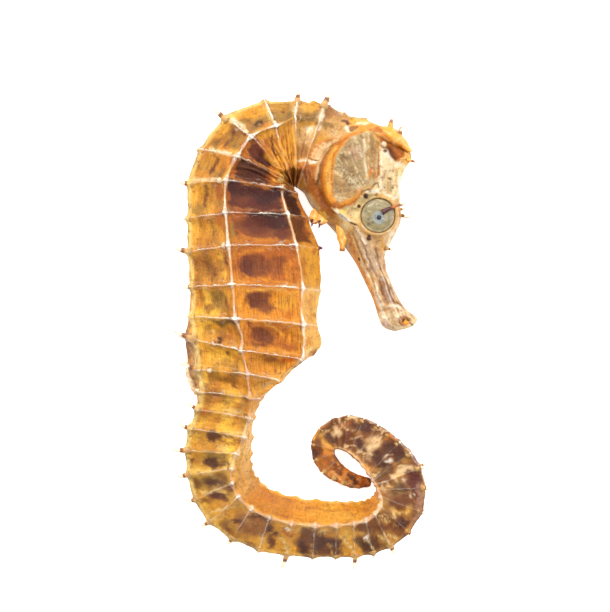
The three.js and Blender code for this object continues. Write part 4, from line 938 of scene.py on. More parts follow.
# Raised and sunken forms of the head: shape, height in mm, size, places.
HEAD_FORMS = (
    (AREA, 0.50, 0.6, [(8.8, 31.0), (7.0, 30.4), (5.0, 28.8), (3.6, 26.6), (3.0, 24.0), (3.1, 21.8),
        (4.0, 19.8), (5.2, 18.4), (8.2, 20.0), (10.4, 21.8), (11.8, 23.4), (12.0, 27.0), (10.8, 30.4)]),
    (AREA, -0.22, 0.35, [(9.0, 30.2), (7.4, 29.5), (6.2, 28.0), (5.4, 26.4), (5.0, 24.4), (4.9, 22.4),
        (5.2, 20.9), (8.0, 21.4), (9.8, 22.4), (11.4, 23.8), (11.7, 27.0), (10.4, 30.0)]),
    (SPOT, 0.45, (3.2, 4.4, 10), [(8.2, 25.2)]),
    (LINE, 0.22, 0.45, [(4.8, 27.8), (3.9, 25.4), (3.7, 22.8), (4.3, 20.4)]),
    (LINE, -0.45, 0.28, [(6.6, 30.4), (4.4, 28.6), (3.1, 26.4), (2.7, 24.2), (2.5, 22.0), (3.3, 20.0),
        (4.6, 18.4)]),
    (LINE, 0.25, 0.25, [(6.6, 30.9), (4.6, 29.4), (2.9, 27.2), (2.3, 24.4), (1.9, 22.2)]),
    (LINE, 0.20, 0.2, [(9.9, 30.0), (9.8, 27.0), (10.0, 24.4), (10.2, 22.8)]),
    (LINE, -0.25, 0.22, [(12.0, 29.6), (12.1, 26.6), (12.0, 24.2), (11.5, 23.0)]),
    (AREA, -0.75, 0.3, [(12.4, 30.0), (13.4, 29.4), (16.2, 28.2), (15.9, 27.2), (14.8, 26.5), (13.8, 28.2)]),
    (LINE, 0.45, 0.3, [(10.6, 31.3), (12.2, 30.5), (13.8, 29.9), (15.2, 29.1), (16.8, 28.3)]),
    (LINE, 0.30, 0.2, [(13.2, 28.8), (13.9, 27.2), (14.8, 26.2), (16.4, 27.0)]),
    (SPOT, 0.45, (0.4, 0.5, 0), [(12.9, 28.9)]),
    (LINE, 0.22, 0.25, [(15.0, 25.4), (14.9, 23.0), (15.1, 20.8)]),
    (AREA, -0.25, 0.5, [(12.6, 24.6), (14.4, 24.6), (14.4, 21.2), (13.0, 21.6)]),
    (LINE, 0.30, 0.25, [(5.3, 18.8), (6.4, 17.8), (7.6, 16.8), (8.6, 16.2)]),
    (LINE, 0.30, 0.3, [(6.0, 18.7), (7.6, 19.3), (9.2, 20.5), (11.2, 21.8), (12.4, 21.4)]),
    (SPOT, -0.35, (0.9, 0.7, 30), [(8.0, 18.0)]),
    (LINE, -0.20, 0.2, [(8.8, 18.8), (8.9, 17.2), (9.6, 15.6)]),
    (LINE, 0.20, 0.3, [(8.3, 16.0), (9.4, 14.2), (10.8, 10.8), (12.2, 7.2)]),
    (LINE, -0.14, 0.25, [(7.8, 15.2), (9.0, 12.2), (10.6, 8.4), (11.6, 5.8)]),
    (LINE, 0.14, 0.2, [(11.5, 7.4), (12.0, 5.6), (12.5, 4.2), (12.9, 3.0)]),
    (LINE, -0.16, 0.3, [(12.4, 8.6), (13.2, 6.8), (14.0, 4.9)]),
    (LINE, 0.24, 0.22, [(13.0, 3.0), (14.2, 3.5), (15.2, 3.3), (16.0, 2.8)]),
    (LINE, -0.22, 0.2, [(13.2, 3.8), (14.4, 4.1), (15.4, 3.7), (16.2, 3.3)]),
    (LINE, 0.14, 0.15, [(13.0, 2.2), (14.4, 2.7), (15.6, 2.4), (16.4, 1.9)]),
    (LINE, 0.14, 0.15, [(13.0, 1.4), (14.6, 1.8), (15.4, 1.4)]),
    (SPOT, -0.50, (0.75, 0.5, 10), [(16.6, 1.0)]),
)


# ---- The body's curves ----------------------------------------------------------------------


@dataclass
class Section:
    """The cross sections at some stations, one row each."""

    middle: Array
    across: Array
    along: Array
    half_depth: Array
    half_width: Array
    roll: Array
    fit: Array


class BodyShape:
    """The seahorse's form: sections along a bent middle line, with ridges round each section."""

    def __init__(self) -> None:
        """Turns the tail's line into back and belly points and joins them to the body's."""
        hips = [[13, *((BODY[-1, 1:3] + BODY[-1, 3:5]) / 2)]]
        line = np.vstack([hips, TAIL[:, :3]])
        nudge = 0.05
        ahead = natural_spline(line, np.minimum(TAIL[:, 0] + nudge, TAIL[-1, 0]))
        along = unit(ahead - natural_spline(line, TAIL[:, 0] - nudge))
        side = np.stack([-along[:, 1], along[:, 0]], -1) * TAIL[:, 3:] / 2
        tail = np.hstack([TAIL[:, :1], TAIL[:, 1:3] - side, TAIL[:, 1:3] + side])
        self.outline = np.vstack([BODY, tail])
        self.first = BODY[0, 0]
        self.last = TAIL[-1, 0]
        self.ridges = RIDGES
        self.bows = {}
        for ridge, nodes in ((2, SIDE_NODES), (3, LOWER_NODES)):
            self.fit_ridge(ridge, nodes)

    def fit_ridge(self, ridge: int, nodes: Array) -> None:
        """Leads a ridge through its nodes, and keeps how far the ring lines bow there.

        Args:
            ridge: 2 side or 3 lower.
            nodes: rows of ring, x, y.
        """
        at = np.linspace(0.5, 14, 1351)
        part = self.section(at)
        found = []
        for ring, x, y in nodes:
            gap = np.array([x, y]) - part.middle[:, :2]
            miss = np.abs((gap * part.along[:, :2]).sum(1)) + 0.3 * np.maximum(np.abs(at - ring) - 1.0, 0)
            best = int(np.argmin(miss))
            share = (gap[best] * part.across[best, :2]).sum() / part.half_depth[best]
            found.append([at[best], share, ring - at[best]])
        found = np.array(sorted(found))
        stations = np.union1d(self.ridges[:, 0], found[:, 0])
        rows = np.column_stack([stations, straight(self.ridges, stations)])
        within = (stations >= found[0, 0]) & (stations <= found[-1, 0])
        column = 2 * ridge - 1
        rows[within, column] = np.interp(stations[within], found[:, 0], found[:, 1])
        self.ridges = rows
        ends = [[found[0, 0] - 1.2, 0], *found[:, [0, 2]], [found[-1, 0] + 1.2, 0]]
        self.bows[ridge] = np.array(ends)

    def bow(self, station: Array, track: Array) -> Array:
        """How far a ring line runs towards the head, in rings, at stations and tracks.

        Args:
            station: the stations.
            track: the tracks.

        Returns:
            The bow, in rings.
        """
        side, lower = (straight(self.bows[ridge], station)[..., 0] for ridge in (2, 3))
        keys = [0, 1, 2, 3, 4]
        weights = np.stack([np.interp(track, keys, row) for row in ([0, 0.1, 1, 0, 0], [0, 0, 0, 1, 0.5])])
        return side * weights[0] + lower * weights[1] - 0.13 * window(4.2, 6.8, 1.0, station) - 0.04

    def section(self, at: Array) -> Section:
        """The sections at some stations.

        Args:
            at: the stations.

        Returns:
            The sections, a row for each station.
        """
        at = np.atleast_1d(np.asarray(at, float))
        edge = natural_spline(self.outline, at)
        build = natural_spline(BUILD, at)
        step = 0.02
        low, high = np.clip(at - step, self.first, self.last), np.clip(at + step, self.first, self.last)
        travel = natural_spline(self.outline, high) - natural_spline(self.outline, low)
        travel = (travel[:, :2] + travel[:, 2:]) / 2
        flat = np.zeros((len(at), 1))
        across = np.hstack([edge[:, 2:] - edge[:, :2], flat])
        half_depth = np.linalg.norm(across, axis=1) / 2 - np.interp(at, *DRAWN_IN.T)
        across = unit(across)
        square = np.stack([-across[:, 1], across[:, 0], flat[:, 0]], -1)
        sense = np.sign((square[:, :2] * travel).sum(1, keepdims=True))
        middle = np.hstack([(edge[:, :2] + edge[:, 2:]) / 2, build[:, 1:2]])
        roll = np.radians(build[:, 2])
        part = Section(middle, across, square * sense, half_depth, build[:, 0], roll, np.ones(len(at)))
        corners = straight(self.ridges, at)
        reach = np.stack([self.reach(part, corners[:, 2 * k], corners[:, 2 * k + 1]) for k in range(3)])
        part.fit = np.where(roll > 0.01, half_depth / np.maximum(reach.max(0), half_depth * 0.5), 1.0)
        return part

    @staticmethod
    def reach(part: Section, a: Array, b: Array) -> Array:
        """How far a pair of mirrored section points reaches from the middle, seen from the side."""
        x = np.abs(a * part.half_depth * np.cos(part.roll))
        return x + np.abs(b * part.half_width * np.sin(part.roll))

    @staticmethod
    def place(part: Section, a: Array, b: Array) -> Array:
        """Section points in space, in mm.

        Args:
            part: the sections, one a row.
            a: shares of the half depth, a row for each section.
            b: shares of the half width, signed.

        Returns:
            The points, with a last axis of three.
        """
        x = a * part.half_depth[:, None]
        y = b * part.half_width[:, None]
        c, s = np.cos(part.roll)[:, None], np.sin(part.roll)[:, None]
        depth = (x * c - y * s) * part.fit[:, None]
        height = (x * s + y * c) * part.fit[:, None]
        points = part.middle[:, None] + part.across[:, None] * depth[..., None]
        points[..., 2] += height
        return points

    def ridge_point(self, ring: float, track: float, sign: int, lean: float) -> tuple[Array, Array]:
        """A place on a ring line, and the way out from there.

        Args:
            ring: the station.
            track: 1 upper, 2 side, 3 lower ridge, 4 belly, or between them.
            sign: 1 on the right flank, -1 on the left.
            lean: 1 for a direction straight out of the section, less to keep it flatter.

        Returns:
            The point in mm and the unit direction.
        """
        near = np.linspace(ring - 1.5, ring + 1.5, 301)
        bowed = near + self.bow(near[:, None], np.array([float(track)]))[:, 0]
        station = np.clip(near[np.argmin(np.abs(bowed - ring))], self.first, self.last)
        part = self.section(station)
        corner = straight(self.ridges, station).ravel()
        a = np.interp(track, range(5), [-1, *corner[0:6:2], 1])
        b = np.interp(track, range(5), [0, *corner[1:6:2], 0])
        foot = self.place(part, np.array([[a]]), np.array([[b * sign]]))[0, 0]
        core = self.place(part, np.array([[0.0]]), np.array([[b * (1 - lean) * sign]]))[0, 0]
        return foot, unit(foot - core)


# ---- Shader building ------------------------------------------------------------------------


class Number:
    """A number socket that Python's operators work on."""

    def __init__(self, graph: "Graph", socket: Socket) -> None:
        """Keeps the socket and the graph it belongs to."""
        self.graph = graph
        self.socket = socket

    def __add__(self, other: Any) -> "Number":
        """Adds a number or another socket."""
        return self.graph.math("ADD", self, other)

    __radd__ = __add__

    def __mul__(self, other: Any) -> "Number":
        """Multiplies by a number or another socket."""
        return self.graph.math("MULTIPLY", self, other)

    __rmul__ = __mul__

    def __sub__(self, other: Any) -> "Number":
        """Takes a number or another socket away."""
        return self.graph.math("SUBTRACT", self, other)

    def __rsub__(self, other: Any) -> "Number":
        """Takes this away from a number."""
        return self.graph.math("SUBTRACT", other, self)


class Graph:
    """The node tree of one material."""

    def __init__(self, name: str) -> None:
        """Starts a material with a Principled shader and its output.

        Args:
            name: the material's name.
        """
        self.material = bpy.data.materials.new(name)
        self.material.use_nodes = True
        self.tree = self.material.node_tree
        self.shader = self.tree.nodes["Principled BSDF"]

    def node(self, kind: str, settings: dict[str, Any], inputs: dict[Any, Any]) -> bpy.types.Node:
        """Adds a node.

        Args:
            kind: its type.
            settings: properties, set first; a ramp's stops under "stops".
            inputs: values or links by socket name or number.

        Returns:
            The node.
        """
        made = self.tree.nodes.new(kind)
        for key, value in settings.items():
            if key == "stops":
                for element, (place, colour) in zip(self.elements(made, len(value)), value):
                    element.position = place
                    element.color = (*colour, 1.0)
            else:
                setattr(made, key, value)
        for key, value in inputs.items():
            self.put(made.inputs[key], value)
        return made

    @staticmethod
    def elements(made: bpy.types.Node, count: int) -> list[Any]:
        """A ramp's stops, brought up to a count.

        Args:
            made: the ramp's node.
            count: how many stops it needs.

        Returns:
            The stops.
        """
        stops = made.color_ramp.elements
        while len(stops) < count:
            stops.new(0.5)
        return list(stops)

    def put(self, socket: Socket, value: Any) -> None:
        """Sets a socket to a value, or links another socket to it.

        Args:
            socket: the socket.
            value: a plain value, or what to link.
        """
        if isinstance(value, Number):
            value = value.socket
        if isinstance(value, Socket):
            self.tree.links.new(value, socket)
        elif isinstance(value, (tuple, list)) and len(value) == 3 and socket.type == "RGBA":
            socket.default_value = (*value, 1.0)
        else:
            socket.default_value = value

    def math(self, operation: str, a: Any, b: Any = 0.0, c: Any = 0.0) -> Number:
        """A Math node on up to three numbers."""
        made = self.node("ShaderNodeMath", {"operation": operation}, {0: a, 1: b, 2: c})
        return Number(self, made.outputs[0])

    def clamp(self, value: Any) -> Number:
        """Keeps a number between 0 and 1."""
        return Number(self, self.node("ShaderNodeClamp", {}, {"Value": value}).outputs[0])

    def span(self, value: Any, low: float, high: float, to_low: float = 0.0, to_high: float = 1.0) -> Number:
        """Maps low..high to to_low..to_high, smoothly and clamped.

        Args:
            value: the number.
            low: where it leaves to_low.
            high: where it reaches to_high.
            to_low: the result at low.
            to_high: the result at high.

        Returns:
            The mapped number.
        """
        inputs = {"Value": value, "From Min": low, "From Max": high, "To Min": to_low, "To Max": to_high}
        made = self.node("ShaderNodeMapRange", {"interpolation_type": "SMOOTHSTEP"}, inputs)
        return Number(self, made.outputs[0])

    def mask(self, name: str) -> Number:
        """A number that the piece carries at each of its points."""
        made = self.node("ShaderNodeAttribute", {"attribute_name": name}, {})
        return Number(self, made.outputs["Fac"])

    def field(self, name: str) -> Socket:
        """A vector that the piece carries at each of its points."""
        return self.node("ShaderNodeAttribute", {"attribute_name": name}, {}).outputs["Vector"]

    def millimetres(self) -> Socket:
        """The place on the object, in millimetres.

        Returns:
            The vector.
        """
        place = self.node("ShaderNodeTexCoord", {}, {}).outputs["Object"]
        inputs = {0: place, "Scale": 1 / MM}
        return self.node("ShaderNodeVectorMath", {"operation": "SCALE"}, inputs).outputs[0]

    def stretched(self, vector: Any, scale: Place) -> Socket:
        """A vector stretched by three factors."""
        return self.node("ShaderNodeMapping", {}, {"Vector": vector, "Scale": scale}).outputs[0]

    def noise(self, vector: Any, scale: float, detail: float = 3.0, rough: float = 0.55) -> Number:
        """Cloudy noise around 0.5."""
        inputs = {"Vector": vector, "Scale": scale, "Detail": detail, "Roughness": rough}
        return Number(self, self.node("ShaderNodeTexNoise", {}, inputs).outputs["Fac"])

    def cells(self, vector: Any, scale: float) -> Number:
        """Distance to scattered points."""
        inputs = {"Vector": vector, "Scale": scale}
        return Number(self, self.node("ShaderNodeTexVoronoi", {}, inputs).outputs["Distance"])

    def mix(self, a: Any, b: Any, factor: Any, blend: str = "MIX") -> Socket:
        """Mixes two colours."""
        made = self.node("ShaderNodeMix", {"data_type": "RGBA", "blend_type": blend}, {0: factor, 6: a, 7: b})
        return made.outputs[2]

    def ramp(self, factor: Any, stops: Sequence[tuple[float, Place]]) -> Socket:
        """A colour ramp."""
        return self.node("ShaderNodeValToRGB", {"stops": stops}, {"Fac": factor}).outputs[0]

    def bump(self, height: Any, depth_mm: float, strength: float = 1.0) -> Socket:
        """A bumped normal from a height, whose full range is a depth in mm."""
        inputs = {"Height": height, "Distance": depth_mm * MM, "Strength": strength}
        return self.node("ShaderNodeBump", {}, inputs).outputs[0]

    def finish(self, **sockets: Any) -> Material:
        """Sets the shader's sockets by name, with _ for a space, and returns the material.

        Args:
            sockets: values or links.

        Returns:
            The material.
        """
        for name, value in sockets.items():
            self.put(self.shader.inputs[name.replace("_", " ")], value)
        return self.material


@dataclass(frozen=True)
class SkinFinish:
    """Dried skin: painted colours, broken up by fine mottling, threads, fibres and grit, with painted glints
    on the threads and specks and painted shade beside the raised lines.
    """

    thread_and_glint: Colour = (1.0, 0.93, 0.80)
    gold_thread: Colour = HONEY
    shadow: Colour = (0.42, 0.24, 0.13)
    grain: Colour = (0.55, 0.36, 0.22)
    sheen: Colour = (1.55, 1.42, 1.05)
    umber: Colour = (0.23, 0.085, 0.03)

    def material(self) -> Material:
        """Builds the material from the skin's painted colours and fine noise.

        Returns:
            The material.
        """
        g = Graph("dried skin")
        place = g.millimetres()
        flow = g.field("flow")
        coarse = g.noise(place, 0.9, 5, 0.62)
        fine = g.noise(place, 2.8, 4, 0.62)
        grit = g.noise(place, 8.0, 3, 0.65)
        fibres = g.noise(g.stretched(flow, (0.35, 4.2, 1)), 1.0, 3, 0.6)
        cross = g.noise(g.stretched(flow, (3.6, 0.5, 1)), 1.0, 3, 0.6)
        wander = (fine - 0.5) * 0.28 + (coarse - 0.5) * 0.7
        # Ring and ridge lines, as uneven pale threads on paler banks, with painted glints along the threads
        # and a band of painted shade just beside them.
        ring = g.mask("ring")
        ring_gap = g.math("ABSOLUTE", (ring - g.math("ROUND", ring)) * g.mask("pitch") + wander)
        ridge_gap = g.math("ABSOLUTE", g.mask("gap") + wander * 0.6)
        glint = g.span(fine * 0.3 + coarse * 0.7, 0.44, 0.56)
        narrow = 1.3 - g.mask("node") * 0.5
        rings = g.span(ring_gap * narrow, 0.17, 0.04) * g.mask("lines")
        ridges = g.span(ridge_gap * narrow, 0.20, 0.05) * g.mask("edges")
        stray = g.noise(place, 0.8, 2, 0.4)
        stray_gap = g.math("ABSOLUTE", ring_gap - g.span(stray, 0.3, 0.7, 0.0, 0.75))
        strays = g.span(stray_gap, 0.18, 0.02) * g.mask("lines") * g.span(coarse, 0.46, 0.56)
        threads = g.clamp((rings + ridges) * (glint * 0.55 + 0.35) + strays * 0.16)
        # Painted shade: a dark band just beside each raised ring and ridge line.
        beside = (g.span(ring_gap, 0.62, 0.34) * g.mask("lines")
                  + g.span(ridge_gap, 0.66, 0.36) * g.mask("edges"))
        banks = g.clamp(g.span(ring_gap, 0.85, 0.15) * g.mask("lines")
                        + g.span(ridge_gap, 0.95, 0.2) * g.mask("edges"))
        banks = banks * g.mask("bank")
        colour = g.mix(g.field("tint"), self.shadow, g.span(coarse + (fine - 0.5) * 0.6, 0.50, 0.74, 0, 0.55),
                       "MULTIPLY")
        colour = g.mix(colour, self.umber, g.span(fine + (coarse - 0.5) * 0.8, 0.58, 0.76, 0, 0.34))
        colour = g.mix(colour, self.sheen, g.span(fine * 0.6 + coarse * 0.4, 0.48, 0.30, 0, 0.85), "MULTIPLY")
        colour = g.mix(colour, self.gold_thread, g.clamp(banks * (g.span(fine, 0.40, 0.60) * 0.6 + 0.15)))
        lines = g.span(fibres, 0.50, 0.38) * g.mask("fibre") + g.span(cross, 0.50, 0.38) * g.mask("cross")
        colour = g.mix(colour, self.shadow, g.clamp(lines * 0.62), "MULTIPLY")
        light = g.span(fibres, 0.56, 0.70) * g.mask("fibre") + g.span(cross, 0.56, 0.70) * g.mask("cross")
        colour = g.mix(colour, self.sheen, g.clamp(light * 0.8), "MULTIPLY")
        colour = g.mix(colour, self.grain, g.span(grit, 0.53, 0.70, 0, 0.42), "MULTIPLY")
        # Pale grit specks: painted glints.
        colour = g.mix(colour, self.thread_and_glint, g.span(grit, 0.40, 0.28, 0, 0.08))
        # Lays the painted shade beside the raised lines.
        colour = g.mix(colour, self.shadow, g.clamp(beside * 0.42), "MULTIPLY")
        colour = g.mix(colour, self.thread_and_glint, g.clamp(threads * 1.0))
        relief = (fine * 0.45 + grit * 0.30 + fibres * g.mask("fibre") * 0.5 + cross * g.mask("cross") * 0.5
                  + threads * 0.45 + banks * 0.25 + coarse * 0.4)
        rough = g.span(fine, 0.3, 0.7, 0.40, 0.58) - threads * 0.24
        return g.finish(Base_Color=colour, Roughness=rough, Normal=g.bump(relief, 0.34, 1.0),
                        Specular_IOR_Level=0.26, Subsurface_Weight=0.08,
                        Subsurface_Radius=(1.0, 0.42, 0.16), Subsurface_Scale=0.0005)


@dataclass(frozen=True)
class SpineFinish:
    """Spines with a brown ring under a pale tip, and cream knobs with a brown arc."""

    foot: Colour = OLIVE
    shaft: Colour = OCHRE
    ring: Colour = BROWN
    tip: Colour = (0.80, 0.67, 0.48)
    knob: Colour = (0.60, 0.45, 0.29)
    dark: Colour = PURPLE
    dirt: Colour = (0.5, 0.32, 0.2)

    def material(self) -> Material:
        """Builds the material from the height along each spine and its kind.

        Returns:
            The material.
        """
        g = Graph("spines")
        place = g.millimetres()
        speck = g.noise(place, 5.0, 3)
        up = g.mask("height") + (speck - 0.5) * 0.16
        stops = [(0.0, self.foot), (0.22, self.shaft), (0.34, self.ring), (0.46, self.ring), (0.53, self.tip)]
        colour = g.ramp(up, stops)
        arc = g.span(g.mask("arc") + (speck - 0.5) * 0.4, 0.68, 0.86) * g.span(up, 0.95, 0.7)
        knob = g.mix(self.knob, self.ring, g.clamp(arc * 0.95))
        knob = g.mix(self.foot, knob, g.span(up, 0.0, 0.25))
        colour = g.mix(colour, knob, g.mask("knob"))
        colour = g.mix(colour, self.dark, g.mask("dark"))
        brow = [(0.0, self.dark), (0.3, self.dark), (0.45, RUST), (0.7, self.ring), (0.88, self.tip)]
        colour = g.mix(colour, g.ramp(up, brow), g.mask("brow"))
        colour = g.mix(colour, self.dirt, g.span(speck, 0.5, 0.72, 0, 0.5), "MULTIPLY")
        return g.finish(Base_Color=colour, Roughness=g.span(speck, 0.3, 0.7, 0.28, 0.48),
                        Normal=g.bump(speck, 0.08, 0.8), Specular_IOR_Level=0.4, Subsurface_Weight=0.15,
                        Subsurface_Radius=(1.0, 0.5, 0.2), Subsurface_Scale=0.0004)


@dataclass(frozen=True)
class CoronetFinish:
    """The crown's bone: half clear yellow, cream edges and brown points."""

    yellow: Colour = (0.68, 0.295, 0.035)
    orange: Colour = FLAME
    cream: Colour = (0.78, 0.46, 0.18)
    brown: Colour = (0.20, 0.07, 0.025)
    tip: Colour = (0.86, 0.76, 0.6)
    toffee: Colour = (0.5, 0.24, 0.05)

    def material(self) -> Material:
        """Builds the material from height and distance to the points.

        Returns:
            The material.
        """
        g = Graph("coronet bone")
        place = g.millimetres()
        cloudy = g.noise(place, 1.1, 4)
        speck = g.noise(place, 6.0, 3)
        colour = g.mix(self.yellow, self.orange, g.clamp(g.mask("left") + (cloudy - 0.5) * 1.4))
        colour = g.mix(colour, self.cream, g.span(cloudy, 0.52, 0.66, 0, 0.75))
        colour = g.mix(colour, self.toffee, g.span(g.noise(place, 2.4, 4), 0.50, 0.66, 0, 0.55))
        colour = g.mix(colour, self.brown, g.clamp(g.mask("brown") + (speck - 0.5) * 0.4 * g.mask("brown")))
        colour = g.mix(colour, self.tip, g.mask("tip"))
        return g.finish(Base_Color=colour, Roughness=g.span(cloudy, 0.3, 0.7, 0.32, 0.5),
                        Normal=g.bump(cloudy * 0.6 + speck * 0.3, 0.12, 0.7), Subsurface_Weight=0.3,
                        Subsurface_Radius=(1.0, 0.5, 0.15), Subsurface_Scale=0.001)


@dataclass(frozen=True)
class EyeFinish:
    """A dried eye: dull khaki iris, blue-grey ring, small dark pupil, dark flecks."""

    iris: Colour = (0.21, 0.165, 0.068)
    iris_deep: Colour = (0.24, 0.18, 0.075)
    ring: Colour = (0.20, 0.225, 0.22)
    groove: Colour = (0.12, 0.13, 0.14)
    pupil: Colour = (0.015, 0.014, 0.016)
    rim: Colour = (0.24, 0.17, 0.08)
    fleck: Colour = (0.07, 0.055, 0.04)
    mist: Colour = (0.30, 0.245, 0.12)
    bruise: Colour = (0.15, 0.14, 0.085)
    dust: Colour = (0.5, 0.45, 0.35)

    def material(self) -> Material:
        """Builds the material from the distance to the eye's axis.

        Returns:
            The material.
        """
        g = Graph("dried eye")
        place = g.millimetres()
        out = g.mask("out")
        cloudy = g.noise(place, 1.6, 4)
        speck = g.noise(place, 6.0, 4)
        wavy = g.mask("pupil") + (cloudy - 0.5) * 0.12
        stops = [(0.0, self.pupil), (0.13, self.pupil), (0.19, self.ring), (0.24, self.groove),
                 (0.30, self.ring), (0.46, self.iris)]
        colour = g.ramp(wavy, stops)
        colour = g.mix(colour, self.iris_deep, g.span(out, 0.78, 0.92))
        colour = g.mix(colour, self.rim, g.span(out, 0.93, 1.0))
        colour = g.mix(colour, self.mist, g.clamp(g.span(cloudy, 0.50, 0.64) * g.span(out, 0.2, 0.4) * 0.7))
        colour = g.mix(colour, self.bruise, g.clamp(g.span(cloudy, 0.47, 0.36) * g.span(out, 0.2, 0.4) * 0.6))
        arcs = g.span(g.math("ABSOLUTE", out + (cloudy - 0.5) * 0.3 - 0.80), 0.045, 0.01)
        colour = g.mix(colour, self.rim, g.clamp(arcs * g.span(speck, 0.4, 0.6)))
        colour = g.mix(colour, self.fleck, g.mask("fleck"))
        colour = g.mix(colour, self.dust, g.span(speck, 0.5, 0.8, 0, 0.5), "MULTIPLY")
        return g.finish(Base_Color=colour, Roughness=g.span(speck, 0.3, 0.7, 0.16, 0.34),
                        Normal=g.bump(speck * 0.5 + cloudy, 0.22, 0.8), Coat_Weight=0.12, Coat_Roughness=0.16)


@dataclass(frozen=True)
class FinFinish:
    """Thin dried fin: pale rays on a membrane."""

    name: str = "fin membrane"
    membrane: Colour = shade(190, 150, 98)
    ray: Colour = shade(226, 198, 150)
    edge: Colour = shade(172, 108, 34)
    stain: Colour = shade(96, 54, 28)

    def material(self) -> Material:
        """Builds the material from the rays painted on the fin.

        Returns:
            The material.
        """
        g = Graph(self.name)
        place = g.millimetres()
        cloudy = g.noise(place, 1.9, 5)
        colour = g.mix(self.membrane, self.ray, g.clamp(g.mask("ray") * 0.7 + (cloudy - 0.5) * 1.6))
        colour = g.mix(colour, self.stain, g.span(cloudy, 0.50, 0.66, 0, 0.6))
        colour = g.mix(colour, self.edge, g.mask("border"))
        return g.finish(Base_Color=colour, Roughness=g.span(cloudy, 0.3, 0.7, 0.35, 0.55),
                        Normal=g.bump(cloudy, 0.08, 0.6), Subsurface_Weight=0.12,
                        Subsurface_Radius=(1.0, 0.6, 0.3), Subsurface_Scale=0.0004)


@dataclass(frozen=True)
class FloorFinish:
    """A plain pale floor."""

    paper: Colour = (0.90, 0.90, 0.895)
    tooth: Colour = (0.88, 0.88, 0.875)
    glow: float = 0.85

    def material(self) -> Material:
        """Builds a matt white with a trace of tooth.

        Returns:
            The material.
        """
        g = Graph("floor paper")
        tooth = g.noise(g.millimetres(), 0.8, 2)
        colour = g.mix(self.paper, self.tooth, tooth)
        return g.finish(Base_Color=colour, Roughness=0.9, Specular_IOR_Level=0.1,
                        Emission_Color=(1.0, 1.0, 1.0),
                        Emission_Strength=self.glow)


# ---- Making meshes --------------------------------------------------------------------------


